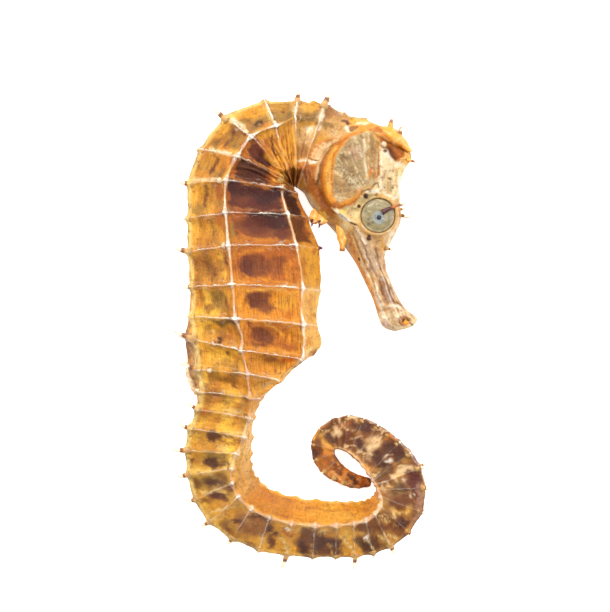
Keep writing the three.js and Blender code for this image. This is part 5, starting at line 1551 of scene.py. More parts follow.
class Workshop:
    """What every piece needs: modelling by operators, painted numbers, and the way into the frame."""

    def __init__(self) -> None:
        """Works out where the drawing lies in the frame, from the place of the right eye."""
        low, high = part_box("eye_right")
        middle = (low + high) / 2
        drawn = Vector((EYE_AT[0], EYE_AT[1], HEAD_LEVEL + EYE_OUT)) * MM
        self.datum = middle - drawn

    @staticmethod
    def clear() -> None:
        """Deselects everything."""
        if bpy.context.object is not None and bpy.context.object.mode != "OBJECT":
            bpy.ops.object.mode_set(mode="OBJECT")
        bpy.ops.object.select_all(action="DESELECT")

    def pick(self, made: Piece) -> None:
        """Selects one piece alone and makes it the active one.

        Args:
            made: the piece.
        """
        self.clear()
        bpy.context.view_layer.objects.active = made
        made.select_set(True)

    def thicken(self, made: Piece, thickness: float) -> None:
        """Gives a sheet its thickness, half of it to each side.

        Args:
            made: the sheet.
            thickness: in mm.
        """
        self.pick(made)
        wall = made.modifiers.new("wall", "SOLIDIFY")
        wall.thickness = thickness
        wall.offset = 0
        bpy.ops.object.modifier_apply(modifier=wall.name)

    def grid(self, name: str, columns: int, rows: int) -> tuple[Piece, Array, Array]:
        """Adds a plane grid to be shaped by code.

        Args:
            name: the piece's name.
            columns: faces along its first way.
            rows: faces along its second way.

        Returns:
            The object, and the column and row number of each of its points.
        """
        self.clear()
        bpy.ops.mesh.primitive_grid_add(x_subdivisions=columns, y_subdivisions=rows, size=2)
        made = bpy.context.object
        made.name = made.data.name = name
        place = np.empty(len(made.data.vertices) * 3, np.float32)
        made.data.vertices.foreach_get("co", place)
        place = place.reshape(-1, 3)
        column = np.rint((place[:, 0] + 1) / 2 * columns).astype(int)
        row = np.rint((place[:, 1] + 1) / 2 * rows).astype(int)
        return made, column, row

    @staticmethod
    def move(made: Piece, points: Array) -> None:
        """Puts a piece's points in new places, in mm."""
        made.data.vertices.foreach_set("co", np.ascontiguousarray(points, np.float32).ravel())
        made.data.update()

    @staticmethod
    def points(made: Piece) -> Array:
        """A piece's points.

        Args:
            made: the piece.

        Returns:
            A row for each point.
        """
        place = np.empty(len(made.data.vertices) * 3, np.float32)
        made.data.vertices.foreach_get("co", place)
        return place.reshape(-1, 3).astype(float)

    @staticmethod
    def paint(made: Piece, name: str, values: Array) -> None:
        """Gives a piece a number, or three, at each of its points.

        Args:
            made: the piece.
            name: what the number is called.
            values: a row for each point.
        """
        kind = "FLOAT" if values.ndim == 1 else "FLOAT_VECTOR"
        layer = made.data.attributes.new(name, kind, "POINT")
        layer.data.foreach_set("value" if values.ndim == 1 else "vector",
                               np.ascontiguousarray(values, np.float32).ravel())

    def top_of(self, piece: Piece, x: Array, y: Array, sign: int) -> Array:
        """Height of a finished piece's upper side, or its under side, at places of the drawing, in mm.

        Args:
            piece: the finished piece.
            x: X of the points, in mm.
            y: Y of the points.
            sign: 1 for the upper side, -1 for the under side.

        Returns:
            The heights.
        """
        tree = BVHTree.FromObject(piece, bpy.context.evaluated_depsgraph_get())
        start, way = Vector((0, 0, sign)), Vector((0, 0, -sign))
        heights = np.full(len(x), float(HEAD_LEVEL))
        for k, at in enumerate(np.stack([x, y], -1) * MM + np.array(self.datum[:2])):
            hit = tree.ray_cast(start + Vector((at[0], at[1], 0)), way)[0]
            if hit is not None:
                heights[k] = (hit.z - self.datum[2]) / MM
        return heights

    def weld(self, made: Piece, gap: float = 1e-4) -> None:
        """Merges points that lie together and turns all faces outwards.

        Args:
            made: the piece.
            gap: how near the points have to be.
        """
        self.pick(made)
        bpy.ops.object.mode_set(mode="EDIT")
        bpy.ops.mesh.select_all(action="SELECT")
        bpy.ops.mesh.remove_doubles(threshold=gap)
        bpy.ops.mesh.normals_make_consistent(inside=False)
        bpy.ops.object.mode_set(mode="OBJECT")

    def place(self, made: Piece, material: Material) -> None:
        """Dresses a piece and brings it from the drawing into the frame.

        Args:
            made: the piece.
            material: its material.
        """
        made.data.materials.clear()
        made.data.materials.append(material)
        points = self.points(made) * MM + np.array(self.datum)
        points[:, 2] = np.maximum(points[:, 2], 0.0)
        self.move(made, points)
        made.data.polygons.foreach_set("use_smooth", np.ones(len(made.data.polygons), bool))
        made.data.update()
        self.clear()

    def turned(self, name: str, profile: Line, sides: int) -> Piece:
        """Models a round piece by extruding and scaling a disc upwards.

        Args:
            name: its name.
            profile: pairs of height and radius, from the foot up.
            sides: corners of the disc.

        Returns:
            The object.
        """
        self.clear()
        height, radius = profile[0]
        bpy.ops.mesh.primitive_circle_add(vertices=sides, radius=radius, fill_type="NGON", location=(0, 0, 0))
        made = bpy.context.object
        made.name = made.data.name = name
        bpy.ops.object.mode_set(mode="EDIT")
        bpy.ops.mesh.select_all(action="SELECT")
        last, width = height, radius
        for height, radius in profile[1:]:
            rise = {"value": (0, 0, height - last)}
            bpy.ops.mesh.extrude_region_move(TRANSFORM_OT_translate=rise)
            share = radius / width
            bpy.ops.transform.resize(value=(share, share, 1), center_override=(0, 0, height - profile[0][0]))
            last, width = height, radius
        bpy.ops.mesh.select_all(action="SELECT")
        bpy.ops.mesh.normals_make_consistent(inside=False)
        bpy.ops.object.mode_set(mode="OBJECT")
        points = self.points(made)
        points[:, 2] += profile[0][0]
        self.move(made, points)
        return made


def settle(piece: Piece, nodes: Sequence[str] = ()) -> None:
    """Hangs a piece on the root, and hides the nodes it stands for.

    Args:
        piece: the finished piece.
        nodes: the nodes it stands for.
    """
    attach(piece, "root")
    if nodes:
        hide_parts(*nodes)


# ---- The skin -------------------------------------------------------------------------------


def fold_count(station: Array, track: Array) -> Array:
    """Counts the uneven folds of the throat, which run from back to belly, along the stations."""
    return station * 2.6 + 0.9 * uneven(station, 3, 0.45) + 0.35 * uneven(track * 2 + station, 4, 0.5)


@dataclass
class Fields:
    """What is known at each point of the skin's grid before it is shaped and painted."""

    ring: Array                # station, bowed as the ring lines are
    station: Array
    track: Array               # 0 back, 1 upper, 2 side, 3 lower ridge, 4 belly
    side: Array                # +1 right flank, -1 left
    x: Array
    y: Array
    deep: Array                # mm below the highest flank
    pitch: Array               # mm a ring
    ridge_gap: dict[int, Array] = field(default_factory=dict)

    def haze(self, seed: int, pitch: float) -> Array:
        """Cloudy noise over the drawing, which changes with depth under the flank."""
        return cloud(self.x, self.y, seed, pitch, self.deep)

    @property
    def ring_gap(self) -> Array:
        """The distance to the nearest ring line, in mm."""
        return np.abs(self.ring - np.rint(self.ring)) * self.pitch


@dataclass
class Skin:
    """One skin over snout, head, neck, trunk and tail, with its ridges, folds and markings."""

    shape: BodyShape
    shop: Workshop
    near_segments: tuple[int, ...] = (10, 30, 30, 18)
    far_segments: tuple[int, ...] = (4, 9, 9, 6)
    # How deep the painted colours dry: red, green, then blue from head to the coil.
    depth: tuple[float, float] = (0.76, 0.78)
    blue_depth: tuple[tuple[float, float], ...] = ((-8, 0.90), (-6.8, 0.80), (-5.5, 0.72), (-1.5, 0.66),
                                                   (0.5, 0.68), (2.6, 0.48), (26, 0.46), (31, 0.72))
    # How strong the ring lines are, by station.
    line_strength: tuple[tuple[float, float], ...] = (
        (0.5, 0), (1.2, 0.9), (3, 1), (12, 0.95), (14, 0.65), (17, 0.5), (22, 0.3), (28, 0.2), (34, 0.15),
        (40, 0.1))
    nodes: tuple[str, ...] = (
        "snout", "head", "neck", "trunk_upper", "trunk_middle", "trunk_lower", "tail_1", "tail_2",
        "tail_3", "tail_4", "tail_5", "tail_6", "tail_7", "tail_8", "tail_tip",
    )
    # Steps of the skin for each stretch of stations.
    stretches: tuple[tuple[float, float, int], ...] = (
        (-12.7, -11.6, 22), (-11.6, -8.5, 50), (-8.5, -1.0, 156), (-1.0, 6.0, 160), (6.0, 13.0, 150),
        (13.0, 30.0, 188), (30.0, 40.0, 76), (40.0, 47.2, 40),
    )
    # The mouth's rows from its bottom out to the lips, and the rounded end of the tail.
    mouth: tuple[tuple[float, float], ...] = (
        (0.0, -1.5), (0.25, -1.45), (0.42, -1.0), (0.5, -0.45), (0.58, -0.05), (0.7, 0.1), (0.86, 0.07))
    tail_end: tuple[tuple[float, float], ...] = ((0.9, 0.12), (0.7, 0.24), (0.4, 0.32), (0.0, 0.35))

    def stations(self) -> Array:
        """The stations of the skin's rows."""
        parts = [np.linspace(first, last, count, endpoint=False) for first, last, count in self.stretches]
        return np.append(np.concatenate(parts), self.stretches[-1][1])

    def columns(self) -> tuple[Array, Array]:
        """The track number and side of each column, once round from the back.

        Returns:
            The tracks and the sides.
        """
        near = [k + np.arange(n) / n for k, n in enumerate(self.near_segments)]
        far = [k + np.arange(n) / n for k, n in enumerate(self.far_segments)]
        right = np.concatenate(near)
        left = np.append(np.concatenate(far)[1:], 4.0)[::-1]
        track = np.concatenate([right, left, [0.0]])
        side = np.concatenate([np.ones(len(right)), -np.ones(len(left)), [1.0]])
        return track, side

    def section_shares(self, station: Array, track: Array, side: Array) -> tuple[Array, Array]:
        """Shares of half depth and half width for each row and column.

        Args:
            station: the stations.
            track: the tracks.
            side: 1 on the right flank, -1 on the left.

        Returns:
            The two shares, a row for each station.
        """
        corner = straight(self.shape.ridges, station)
        zero, one = np.zeros(len(station)), np.ones(len(station))
        a_keys = np.stack([-one, corner[:, 0], corner[:, 2], corner[:, 4], one], 1)
        b_keys = np.stack([zero, corner[:, 1], corner[:, 3], corner[:, 5], zero], 1)
        left = np.minimum(np.floor(track).astype(int), 3)
        u = track - left
        gather = smooth(-1.5, 2.0, station)[:, None] * 0.09
        u = u - gather * np.sin(2 * np.pi * u)
        a0, a1, b0, b1 = a_keys[:, left], a_keys[:, left + 1], b_keys[:, left], b_keys[:, left + 1]
        a, b = a0 + (a1 - a0) * u, b0 + (b1 - b0) * u
        reach = np.hypot(a0, b0) + (np.hypot(a1, b1) - np.hypot(a0, b0)) * u
        out = 1 + (reach / np.maximum(np.hypot(a, b), 1e-6) - 1) * corner[:, 6:7]
        return a * out, b * out * side

    def fields(self, station: Array, track: Array, side: Array, base: Array) -> Fields:
        """Works out ring and ridge distances on the unshaped skin.

        Args:
            station: the stations.
            track: the tracks.
            side: 1 on the right flank, -1 on the left.
            base: the unshaped skin's points.

        Returns:
            The fields.
        """
        ring = station[:, None] + self.shape.bow(station[:, None], track[None])
        pitch = np.linalg.norm(np.gradient(base, station, axis=0), axis=2)
        step = np.linalg.norm(np.diff(base, axis=1), axis=2)
        round_mm = np.concatenate([np.zeros((len(station), 1)), np.cumsum(step, 1)], 1)
        gaps = {}
        for ridge in range(5):
            columns = np.flatnonzero(np.isclose(track, ridge))
            away = [np.abs(round_mm - round_mm[:, c:c + 1]) for c in columns]
            gaps[ridge] = np.min(away, 0)
        each = [np.broadcast_to(values, base.shape[:2])
                for values in (station[:, None], track[None], side[None])]
        return Fields(ring, *each,
                      base[..., 0], base[..., 1], np.clip(FLANK_TOP - base[..., 2], 0, None), pitch, gaps)

    # -- relief --

    def crested(self, station: Array, track: Array, base: Array) -> Array:
        """The plain skin with its back edge drawn out to the crest of nape, crown and brow.

        Args:
            station: the stations.
            track: the tracks.
            base: the unshaped skin's points.

        Returns:
            The points with the crest.
        """
        rows = np.flatnonzero((station > -8.6) & (station < -0.6))
        corners = np.array(CREST)
        start, way = corners[:-1], np.diff(corners, axis=0)
        push = np.zeros(len(station))
        for row in rows:
            foot = base[row, 0, :2]
            out = unit(foot - base[row].mean(0)[:2])
            cross = out[0] * way[:, 1] - out[1] * way[:, 0]
            gap = start - foot
            far = (gap[:, 0] * way[:, 1] - gap[:, 1] * way[:, 0]) / cross
            along = (gap[:, 0] * out[1] - gap[:, 1] * out[0]) / cross
            hit = far[(along >= 0) & (along <= 1) & (far > -0.6) & (far < 3.6)]
            push[row] = max(hit.max(), 0) if len(hit) else push[row - 1]
        kernel = np.hanning(9)
        push = np.convolve(push, kernel / kernel.sum(), "same")
        out = unit(base[:, 0] - base.mean(1))
        share = np.clip(1 - track / 1.5, 0, 1) ** 1.3
        drawn = base + out[:, None] * (push[:, None] * share)[..., None]
        middle = base[:, :1, 2]
        thin = 1 - 0.45 * smooth(0.8, 2.6, push)[:, None] * share**0.7
        drawn[..., 2] = middle + (drawn[..., 2] - middle) * thin
        return drawn

    @staticmethod
    def body_relief(f: Fields) -> Array:
        """How far ring lines, ridges, plates and folds stand out from the plain body, in mm.

        Args:
            f: what is known at the skin's points.

        Returns:
            The rise.
        """
        body = smooth(0.4, 1.2, f.station)
        size = np.interp(f.station, [0, 13, 18, 30, 40, 47], [1, 1, 0.8, 0.62, 0.4, 0.2])
        ring_gap = f.ring_gap
        ring = (bell(ring_gap, RING_WIDTH) * RING_RISE
                * (1 - 0.8 * smooth(2.2, 2.8, f.track) * smooth(12.6, 14, f.station)))
        ridges = np.minimum.reduce([f.ridge_gap[1], f.ridge_gap[2], f.ridge_gap[3]
                                    + 2.0 * (f.station > 12.5)])
        ridge = bell(ridges, RIDGE_WIDTH) * RIDGE_RISE
        node = np.exp(-(ring_gap**2 + ridges**2) / NODE_WIDTH**2) * NODE_RISE
        between_rings = np.sin(np.pi * (f.ring - np.floor(f.ring))) ** 2
        u = f.track - np.floor(f.track)
        between_ridges = np.sin(np.pi * u) ** 2
        flank = window(1.1, 2.9, 0.3, f.track)
        hollow = (between_rings * between_ridges * np.where(f.station < 12.7, TRUNK_SINK, TAIL_SINK)
                  * (0.5 + 0.5 * flank))
        hollow = hollow * (1 - 0.75 * smooth(2.1, 2.5, f.track) * smooth(12.6, 14, f.station))
        back = np.interp(f.station, [0, 3, 4, 10, 12, 14, 30, 40],
                         [0.15, 0.16, 0.06, 0.06, 0.1, 0.15, 0.12, 0.08])
        scallop = between_rings * smooth(1.7, 0.2, f.track) * back
        keel = np.interp(f.station, [5, 7, 11, 13, 20], [0, 0.14, 0.12, 0.06, 0.05])
        belly = between_rings * smooth(3.3, 4.0, f.track) * keel
        relief = (ring + ridge * smooth(1.5, 3.5, f.station) + node - hollow - scallop - belly) * size * body
        fan = window(1.7, 5.3, 0.6, f.station) * window(2.25, 3.7, 0.5, f.track)
        folds = 0.5 + 0.5 * np.sin(2 * np.pi * fold_count(f.station, f.track))
        relief = relief + fan * (folds**2 - 0.4) * 0.42
        wrinkle = cloud(f.x + f.track * 3, f.y, 5, 1.6) * 0.12 + cloud(f.x, f.y + f.track * 2, 6, 0.7) * 0.06
        bumps = (np.maximum(cloud(f.x, f.y, 7, 0.85), 0) * 0.55 * window(-1.6, 2.2, 0.8, f.station)
                 * smooth(2.6, 2.0, f.track))
        return relief + bumps + wrinkle * smooth(-2.5, 0.5, f.station) * smooth(48, 40, f.station)

    @staticmethod
    def head_relief(f: Fields) -> tuple[Array, Array]:
        """Lifts and hollows of the head along the height axis, in mm, and the distance from the eye.

        Args:
            f: what is known at the skin's points.

        Returns:
            The lift and the distance.
        """
        x, y = f.x, f.y
        lift = cloud(x, y, 11, 1.3) * 0.14 + cloud(x, y, 12, 0.6) * 0.08
        for kind, height, size, points in HEAD_FORMS:
            lift = lift + mark_mask(kind, size, points, x, y) * height
        lift = lift * smooth(-0.4, -1.4, f.station)
        return lift, np.hypot(x - EYE_AT[0], y - EYE_AT[1])

    def shaped(self, f: Fields, base: Array) -> Array:
        """The skin's points after all relief.

        Args:
            f: what is known at the skin's points.
            base: the unshaped skin's points.

        Returns:
            The points.
        """
        down = np.gradient(base, axis=0)
        across = np.gradient(base, axis=1)
        across[:, 0] = across[:, -1] = base[:, 1] - base[:, -2]
        normal = unit(np.cross(across, down))
        centre = base.mean(axis=1, keepdims=True)
        flip = np.sign(np.sum(normal * (base - centre), axis=2).mean())
        points = base + normal * flip * self.body_relief(f)[..., None]
        lift, eye = self.head_relief(f)
        flat = np.abs(normal[..., 2])
        away = np.sign(base[..., 2] - HEAD_LEVEL)
        points[..., 2] += lift * away * smooth(0.15, 0.6, flat)
        level = HEAD_LEVEL + away * (EYE_OUT + 1.4)
        rim = window(2.72, 3.12, 0.5, eye) * smooth(3.7, 3.1, eye)
        on_head = (f.station > -8.2) & (f.station < -3.0)
        points[..., 2] += np.where(on_head, (level - points[..., 2]) * rim * 0.95 * smooth(0.1, 0.4, flat), 0)
        floor = HEAD_LEVEL + away * (EYE_OUT - 0.2)
        sunk = smooth(2.80, 2.54, eye)
        points[..., 2] += np.where(on_head, (floor - points[..., 2]) * sunk, 0)
        return points

    # -- markings --

    @staticmethod
    def ground(f: Fields) -> Array:
        """The skin's colour before any mark is laid on it.

        Args:
            f: what is known at the skin's points.

        Returns:
            The colours.
        """
        track, station = f.track, f.station
        haze = f.haze
        tint = np.empty((*track.shape, 3))
        tint[:] = AMBER
        grain = cloud(track * 6.5 + 0.4 * haze(41, 1.2), station * 1.3, 42)
        layers = [
            (GOLD, smooth(-0.3, 0.5, haze(21, 1.7)) * 0.8),
            (OLIVE, smooth(0.1, 0.8, haze(22, 1.5)) * smooth(2.2, 1.7, track) * window(0.5, 20, 1, station)
             * 0.55),
            (HONEY, smooth(1.2, 0.5, track) * 0.6),
            (BROWN, smooth(0.1, 0.7, grain) * smooth(2.1, 1.8, track) * window(1, 19, 1, station) * 0.52),
            (YELLOW, smooth(0.1, 0.7, -grain) * smooth(2.1, 1.8, track) * window(2.2, 24, 1, station) * 0.6),
            (ORANGE, window(2.0, 4.0, 0.3, track) * window(8.4, 12.6, 0.6, station) * 0.7),
            (RUST, window(2.1, 2.9, 0.1, track) * window(4.1, 8.6, 0.5, f.ring) * 0.7),
            (YELLOW, smooth(13, 17, station) * smooth(2.1, 1.7, track) * smooth(-0.4, 0.5, haze(23, 1.9))
             * 0.6),
            (OCHRE, smooth(13, 15, station) * smooth(2.1, 1.7, track) * smooth(-0.1, 0.6, haze(24, 1.3))
             * 0.7),
            (PEACH, smooth(2.0, 2.2, track) * smooth(12.6, 14.5, station) * smooth(20, 17.5, station) * 0.95),
            (HONEY, smooth(2.0, 2.2, track) * smooth(17.5, 20, station) * smooth(41, 39, station) * 0.95),
            (GOLD, smooth(2.0, 2.5, track) * window(18.5, 29, 1.5, station) * (0.6 + 0.4 * haze(25, 1.6))),
            (ORANGE, smooth(-0.3, 0.5, haze(39, 1.8)) * smooth(2.0, 2.4, track) * window(17, 29, 1, station)
             * 0.7),
            (RUST, smooth(2.2, 2.6, track) * window(18.2, 21.6, 0.8, station) * 0.6),
            (RUST, smooth(0.3, 0.8, haze(26, 0.8)) * window(2.3, 4, 0.2, track) * window(15, 29, 1, station)
             * 0.5),
            (BROWN, np.sin(np.pi * (f.ring - np.floor(f.ring))) * window(16.3, 20.2, 0.3, station)
             * smooth(1.9, 1.6, track)
             * smooth(-0.3, 0.5, haze(43, 1.6)) * (0.4 + 0.5 * window(17.2, 18.8, 0.3, station))),
            (CREAM, window(1.7, 2.2, 0.3, track) * smooth(13, 14, station) * smooth(-0.1, 0.6, haze(27, 1.2))
             * 0.6),
            (OCHRE, smooth(28.5, 30.5, station) * smooth(40, 38, station) * smooth(2.05, 1.8, track) * 0.7),
            (BROWN, smooth(19.5, 21, station) * smooth(39.5, 38, station) * smooth(2.05, 1.8, track)
             * smooth(-0.7, 0.4, haze(29, 1.5) + smooth(30.5, 32.5, station) * 0.55
                      - window(18.8, 25, 0.6, station) * 1.0) * 0.85),
            (CREAM, smooth(29, 31, station) * smooth(39.5, 38, station) * smooth(2.05, 1.8, track)
             * smooth(0.16, 0.03, np.abs(haze(30, 1.3))) * 0.75),
            (RUST, smooth(39.2, 41, station) * 0.6), (ORANGE, smooth(39.8, 41, station) * 0.5),
            (BROWN, smooth(38, 41, station) * smooth(-0.4, 0.4, haze(24, 0.9)) * 0.75),
            (GREY, window(-1.4, 3.4, 0.9, station) * smooth(2.5, 1.7, track) * 0.34),
            (BROWN, window(-1.2, 3.3, 0.7, station) * smooth(2.3, 1.6, track) * (0.30 + 0.2 * haze(44, 0.8))),
            (CREAM, smooth(3.05, 3.4, track) * window(9.2, 12.6, 0.4, station) * 0.7),
            (CREAM, smooth(2.2, 2.6, track) * window(14.5, 19, 1.0, station) * 0.3),
            (MAUVE, window(10.9, 12.9, 0.3, station) * smooth(1.25, 0.9, track)
             * (0.45 + 0.4 * haze(45, 0.9))),
            (GOLD, window(19.9, 22.4, 0.4, station) * smooth(2.05, 1.85, track) * 0.55),
            (OCHRE, smooth(2.2, 2.5, track) * window(18.5, 27, 1, station) * 0.25),
            (SAND, smooth(0.2, -1.2, station) * 0.9),
            (BONE, smooth(0.1, 0.8, haze(28, 1.0)) * smooth(-1.0, -2.0, station) * 0.35),
        ]
        blend_in(tint, layers)
        # The folds that run together at the throat: peach on their crests and rust in the troughs, partly the
        # throat's own colour and partly painted light and shade that follow the folds' relief.
        folds = np.sin(2 * np.pi * fold_count(station, track))
        fan = window(2.1, 5.2, 0.35, station) * smooth(2.1, 2.5, track)
        blend_in(tint, [(PEACH, fan * smooth(0.2, 0.9, folds) * 0.65),
                        (RUST, fan * smooth(-0.3, -0.95, folds) * 0.65)])
        return tint

    def markings(self, f: Fields) -> dict[str, Array]:
        """The painted colours, and the strength of lines and fibres.

        Args:
            f: what is known at the skin's points.

        Returns:
            Values by name.
        """
        x, y, track, station = f.x, f.y, f.track, f.station
        tint = self.ground(f)
        fray = np.interp(station, [-1, 3, 12, 16], [1, 1.6, 1.6, 2.4])
        frayed = [x + (cloud(x, y, 31, 0.7) * 0.14 + cloud(x, y, 32, 0.33) * 0.10) * fray,
                  y + (cloud(x, y, 33, 0.7) * 0.14 + cloud(x, y, 34, 0.33) * 0.10) * fray]
        on_tail = smooth(12.9, 13.6, station)
        seen = 1 - 0.85 * smooth(1.0, 0.7, track)
        groups = [
            (HEAD_MARKS, smooth(0.5, -0.6, station)),
            (TRUNK_MARKS, smooth(-0.8, 0.2, station) * (1 - on_tail) * seen),
            (TAIL_MARKS, on_tail * smooth(39.6, 39.0, station) * seen),
            (TIP_MARKS, smooth(39.0, 39.8, station)),
        ]
        for marks, where in groups:
            lay_marks(tint, marks, where, *frayed, 1.5 if marks is TAIL_MARKS else 0.6)
        self.streaks(tint, f)
        # Pale edge with brown specks along the back.
        edge = smooth(1.12, 0.9, track) * window(2.5, 32, 0.5, station)
        speck = smooth(0.1, 0.6, cloud(x + y, y - x, 35, 0.6, f.deep))
        pale_edge = (window(0.75, 1.08, 0.12, track)
                     * np.interp(station, [1.5, 3, 17, 21, 34], [0, 0.8, 0.8, 0.25, 0]))
        tick = smooth(0.15, 0.5, uneven(station * 4.6, 38)) * window(0.8, 1.12, 0.08, track)
        blend_in(tint, [(CREAM, pale_edge), (BROWN, edge * np.maximum(speck * 0.6, tick) * 0.9)])
        middle = np.sin(np.pi * (f.ring - np.floor(f.ring)))
        trunk = smooth(0.3, 1.0, station) * smooth(13.4, 12.8, station)
        in_fan = window(1.9, 5.2, 0.3, station) * smooth(2.2, 2.5, track)
        dorsal, ventral = window(0.3, 1.9, 0.3, track), smooth(3.0, 3.3, track)
        flank = window(1.9, 3.1, 0.12, track) * (1 - on_tail * smooth(2.0, 2.12, track))
        strength = np.interp(station, *np.transpose(self.line_strength))
        lines = (strength * (0.8 * dorsal + 1.0 * flank + (0.45 - 0.40 * on_tail) * ventral)
                 * (1 - 0.85 * in_fan))
        lines = lines * np.clip(0.75 + 0.6 * cloud(x, y, 36, 2.2), 0, 1)
        node = np.maximum(bell(f.ridge_gap[2], 1.5), bell(f.ridge_gap[3], 1.5)) * bell(f.ring_gap, 1.3)
        node = np.maximum(node, 0.9 * window(0.2, 1.6, 0.3, track) * window(0.8, 5.6, 0.4, station))
        tail_edge = smooth(12.8, 13.6, station) * smooth(43, 36, station)
        side_edge = (window(3, 12.6, 0.6, station) * np.interp(station, [7.8, 8.8], [1, 0.55])
                     + tail_edge * 0.3)
        lower_edge = window(6.2, 11.2, 0.3, station)
        gap = np.where(bell(f.ridge_gap[3], 2.0) * (lower_edge > 0) > bell(f.ridge_gap[2], 2.0),
                       f.ridge_gap[3], f.ridge_gap[2])
        edges = (np.where(gap == f.ridge_gap[3], lower_edge, side_edge)
                 * np.clip(0.6 + 0.5 * cloud(x, y, 37, 2.0) + 0.4 * node, 0, 1))
        fibre = window(2.05, 2.95, 0.1, track) * middle * window(8.3, 12.5, 0.4, f.ring)
        fibre = fibre + window(1.0, 2.0, 0.12, track) * trunk * 0.45 + smooth(-7.6, -8.8, station) * 0.3
        fibre = fibre + smooth(-1.5, -2.5, station) * smooth(-8.8, -7.6, station) * 0.3
        fibre = fibre + smooth(3.0, 3.2, track) * trunk * 0.45 + smooth(2.2, 2.5, track) * tail_edge * 0.06
        cross = (in_fan * 0.6 + smooth(2.3, 2.0, track) * tail_edge * 0.35
                 + smooth(2.2, 2.5, track) * tail_edge * 0.4)
        pale = smooth(0.26, 0.62, tint[..., 2])
        blue = np.interp(station, *np.transpose(self.blue_depth))
        blue = blue + (0.9 - blue) * pale
        green = (self.depth[1] + 0.05 * smooth(0.5, -1.5, station)
                 - 0.03 * smooth(17, 20, station) * (1 - pale))
        tint[:] = np.power(tint, 1.18) * np.stack([np.full_like(blue, self.depth[0]), green, blue], -1)
        bank = smooth(0.12, 0.34, tint.mean(-1))
        masks = {"lines": lines, "edges": edges, "fibre": fibre, "cross": cross, "node": node, "bank": bank}
        masks = {name: np.clip(values, 0, 1) for name, values in masks.items()}
        return {"tint": tint, "ring": f.ring, "pitch": f.pitch, "gap": gap, **masks}

    @staticmethod
    def streaks(tint: Array, f: Fields) -> None:
        """Adds the fine rays of the gill cover, the flecks of the brow and the streaks of the snout.

        Args:
            tint: the colours, which are changed.
            f: what is known at the skin's points.
        """
        x, y = f.x, f.y
        skull = smooth(-0.6, -1.4, f.station)
        gill = inside(x, y, HEAD_MARKS[GILL_MARK][4], 0.2) * skull
        angle = np.degrees(np.arctan2(y - 19.6, x - 11.6))
        rays = uneven(angle, 51, 2.0) * 0.45 + uneven(angle + y, 52, 1.0) * 0.35 + cloud(x, y, 55, 0.5) * 0.3
        dark = spot(x, y, (7.7, 23.8), (1.6, 2.2), 20)
        brow = (inside(x, y, [(12.6, 27.6), (14.6, 26.0), (15.4, 24.0), (14.6, 20.4), (12.6, 21.6)], 0.3)
                * skull)
        flecks = smooth(0.25, 0.6, cloud(x, y, 53, 0.45)) * spot(x, y, (13.7, 22.9), (1.0, 2.1), 12)
        across = (x - 10.4) * 0.93 + (y - 13.4) * 0.40 + 0.15 * np.square((y - 6.5) / 7.0)
        snout = smooth(-7.8, -8.8, f.station) * smooth(-12.2, -11.6, f.station)
        lines = uneven(across + 0.2 * uneven(y, 61, 2.5), 62, 0.24) + 0.5 * cloud(x, y, 63, 0.7)
        freckles = smooth(0.2, 0.6, cloud(x, y, 64, 0.35))
        layers = [
            (BONE, gill * smooth(-0.1, 0.7, rays) * 0.5), (BROWN, gill * smooth(0.0, 0.8, -rays) * 0.38),
            (LILAC, gill * 0.14), (SAND, brow * 0.4),
            (MOSS, gill * dark * freckles * 0.7), (MOSS, brow * flecks * 0.85),
            (UMBER, brow * smooth(0.5, 0.8, cloud(x, y, 56, 0.4)) * 0.4),
            (BONE, snout * smooth(0.1, 0.9, lines) * 0.46), (BROWN, snout * smooth(0.2, 1.0, -lines) * 0.42),
        ]
        blend_in(tint, layers)

    def make(self) -> Piece:
        """Builds the skin.

        Returns:
            The piece.
        """
        station = self.stations()
        track, side = self.columns()
        a, b = self.section_shares(station, track, side)
        plain = self.shape.place(self.shape.section(station), a, b)
        base = self.crested(station, track, plain)
        f = self.fields(station, track, side, base)
        points = self.shaped(f, base)
        paint = self.markings(f)
        run = np.append(0, np.cumsum(np.linalg.norm(np.diff(base.mean(1), axis=0), axis=1)))
        step = np.linalg.norm(np.diff(base, axis=1), axis=2)
        girth = np.concatenate([np.zeros((len(station), 1)), np.cumsum(step, 1)], 1)
        along = np.broadcast_to(run[:, None], girth.shape)
        paint["flow"] = np.stack([along, girth, np.zeros(girth.shape)], -1)
        first, last = self.shape.section(station[:1]), self.shape.section(station[-1:])
        caps = []
        for steps, part, edge, sense in ((self.mouth, first, points[0], -1),
                                         (self.tail_end, last, points[-1], 1)):
            centre = part.middle[0]
            spokes = edge - centre
            caps.append([centre + spokes * share + part.along[0] * shift * sense for share, shift in steps])
        full = np.concatenate([caps[0], points, caps[1]])
        full[..., 2] = np.maximum(full[..., 2], -self.shop.datum[2] / MM)
        rows, columns = full.shape[0] - 1, full.shape[1] - 1
        made, column, row = self.shop.grid("skin", columns, rows)
        self.shop.move(made, full[row, column])
        inner = np.clip(row - len(self.mouth), 0, len(station) - 1)
        for name, values in paint.items():
            self.shop.paint(made, name, values[inner, column])
        self.shop.weld(made)
        self.shop.place(made, SkinFinish().material())
        settle(made, self.nodes)
        return made


# ---- Spines and tubercles -------------------------------------------------------------------


class SpineKind(Enum):
    """How a spine is coloured."""

    RINGED = "ringed"
    DARK = "dark"
    BROW = "brow"
    KNOB = "knob"


# Points along the keel of the belly, by ring.
BELLY_POINTS = {8: SpineKind.DARK}

# Larger tubercles beside the ridges: ring, track.
EXTRA_KNOBS = ((3, 1.9), (4, 1.78), (6, 1.82), (11, 1.42), (12, 1.22), (11, 3.0), (8, 1.9), (10, 1.95))


@dataclass(frozen=True)
class Spine:
    """One spine in the drawing."""

    foot: Place
    towards: Place
    height: float
    radius: float
    kind: SpineKind = SpineKind.RINGED


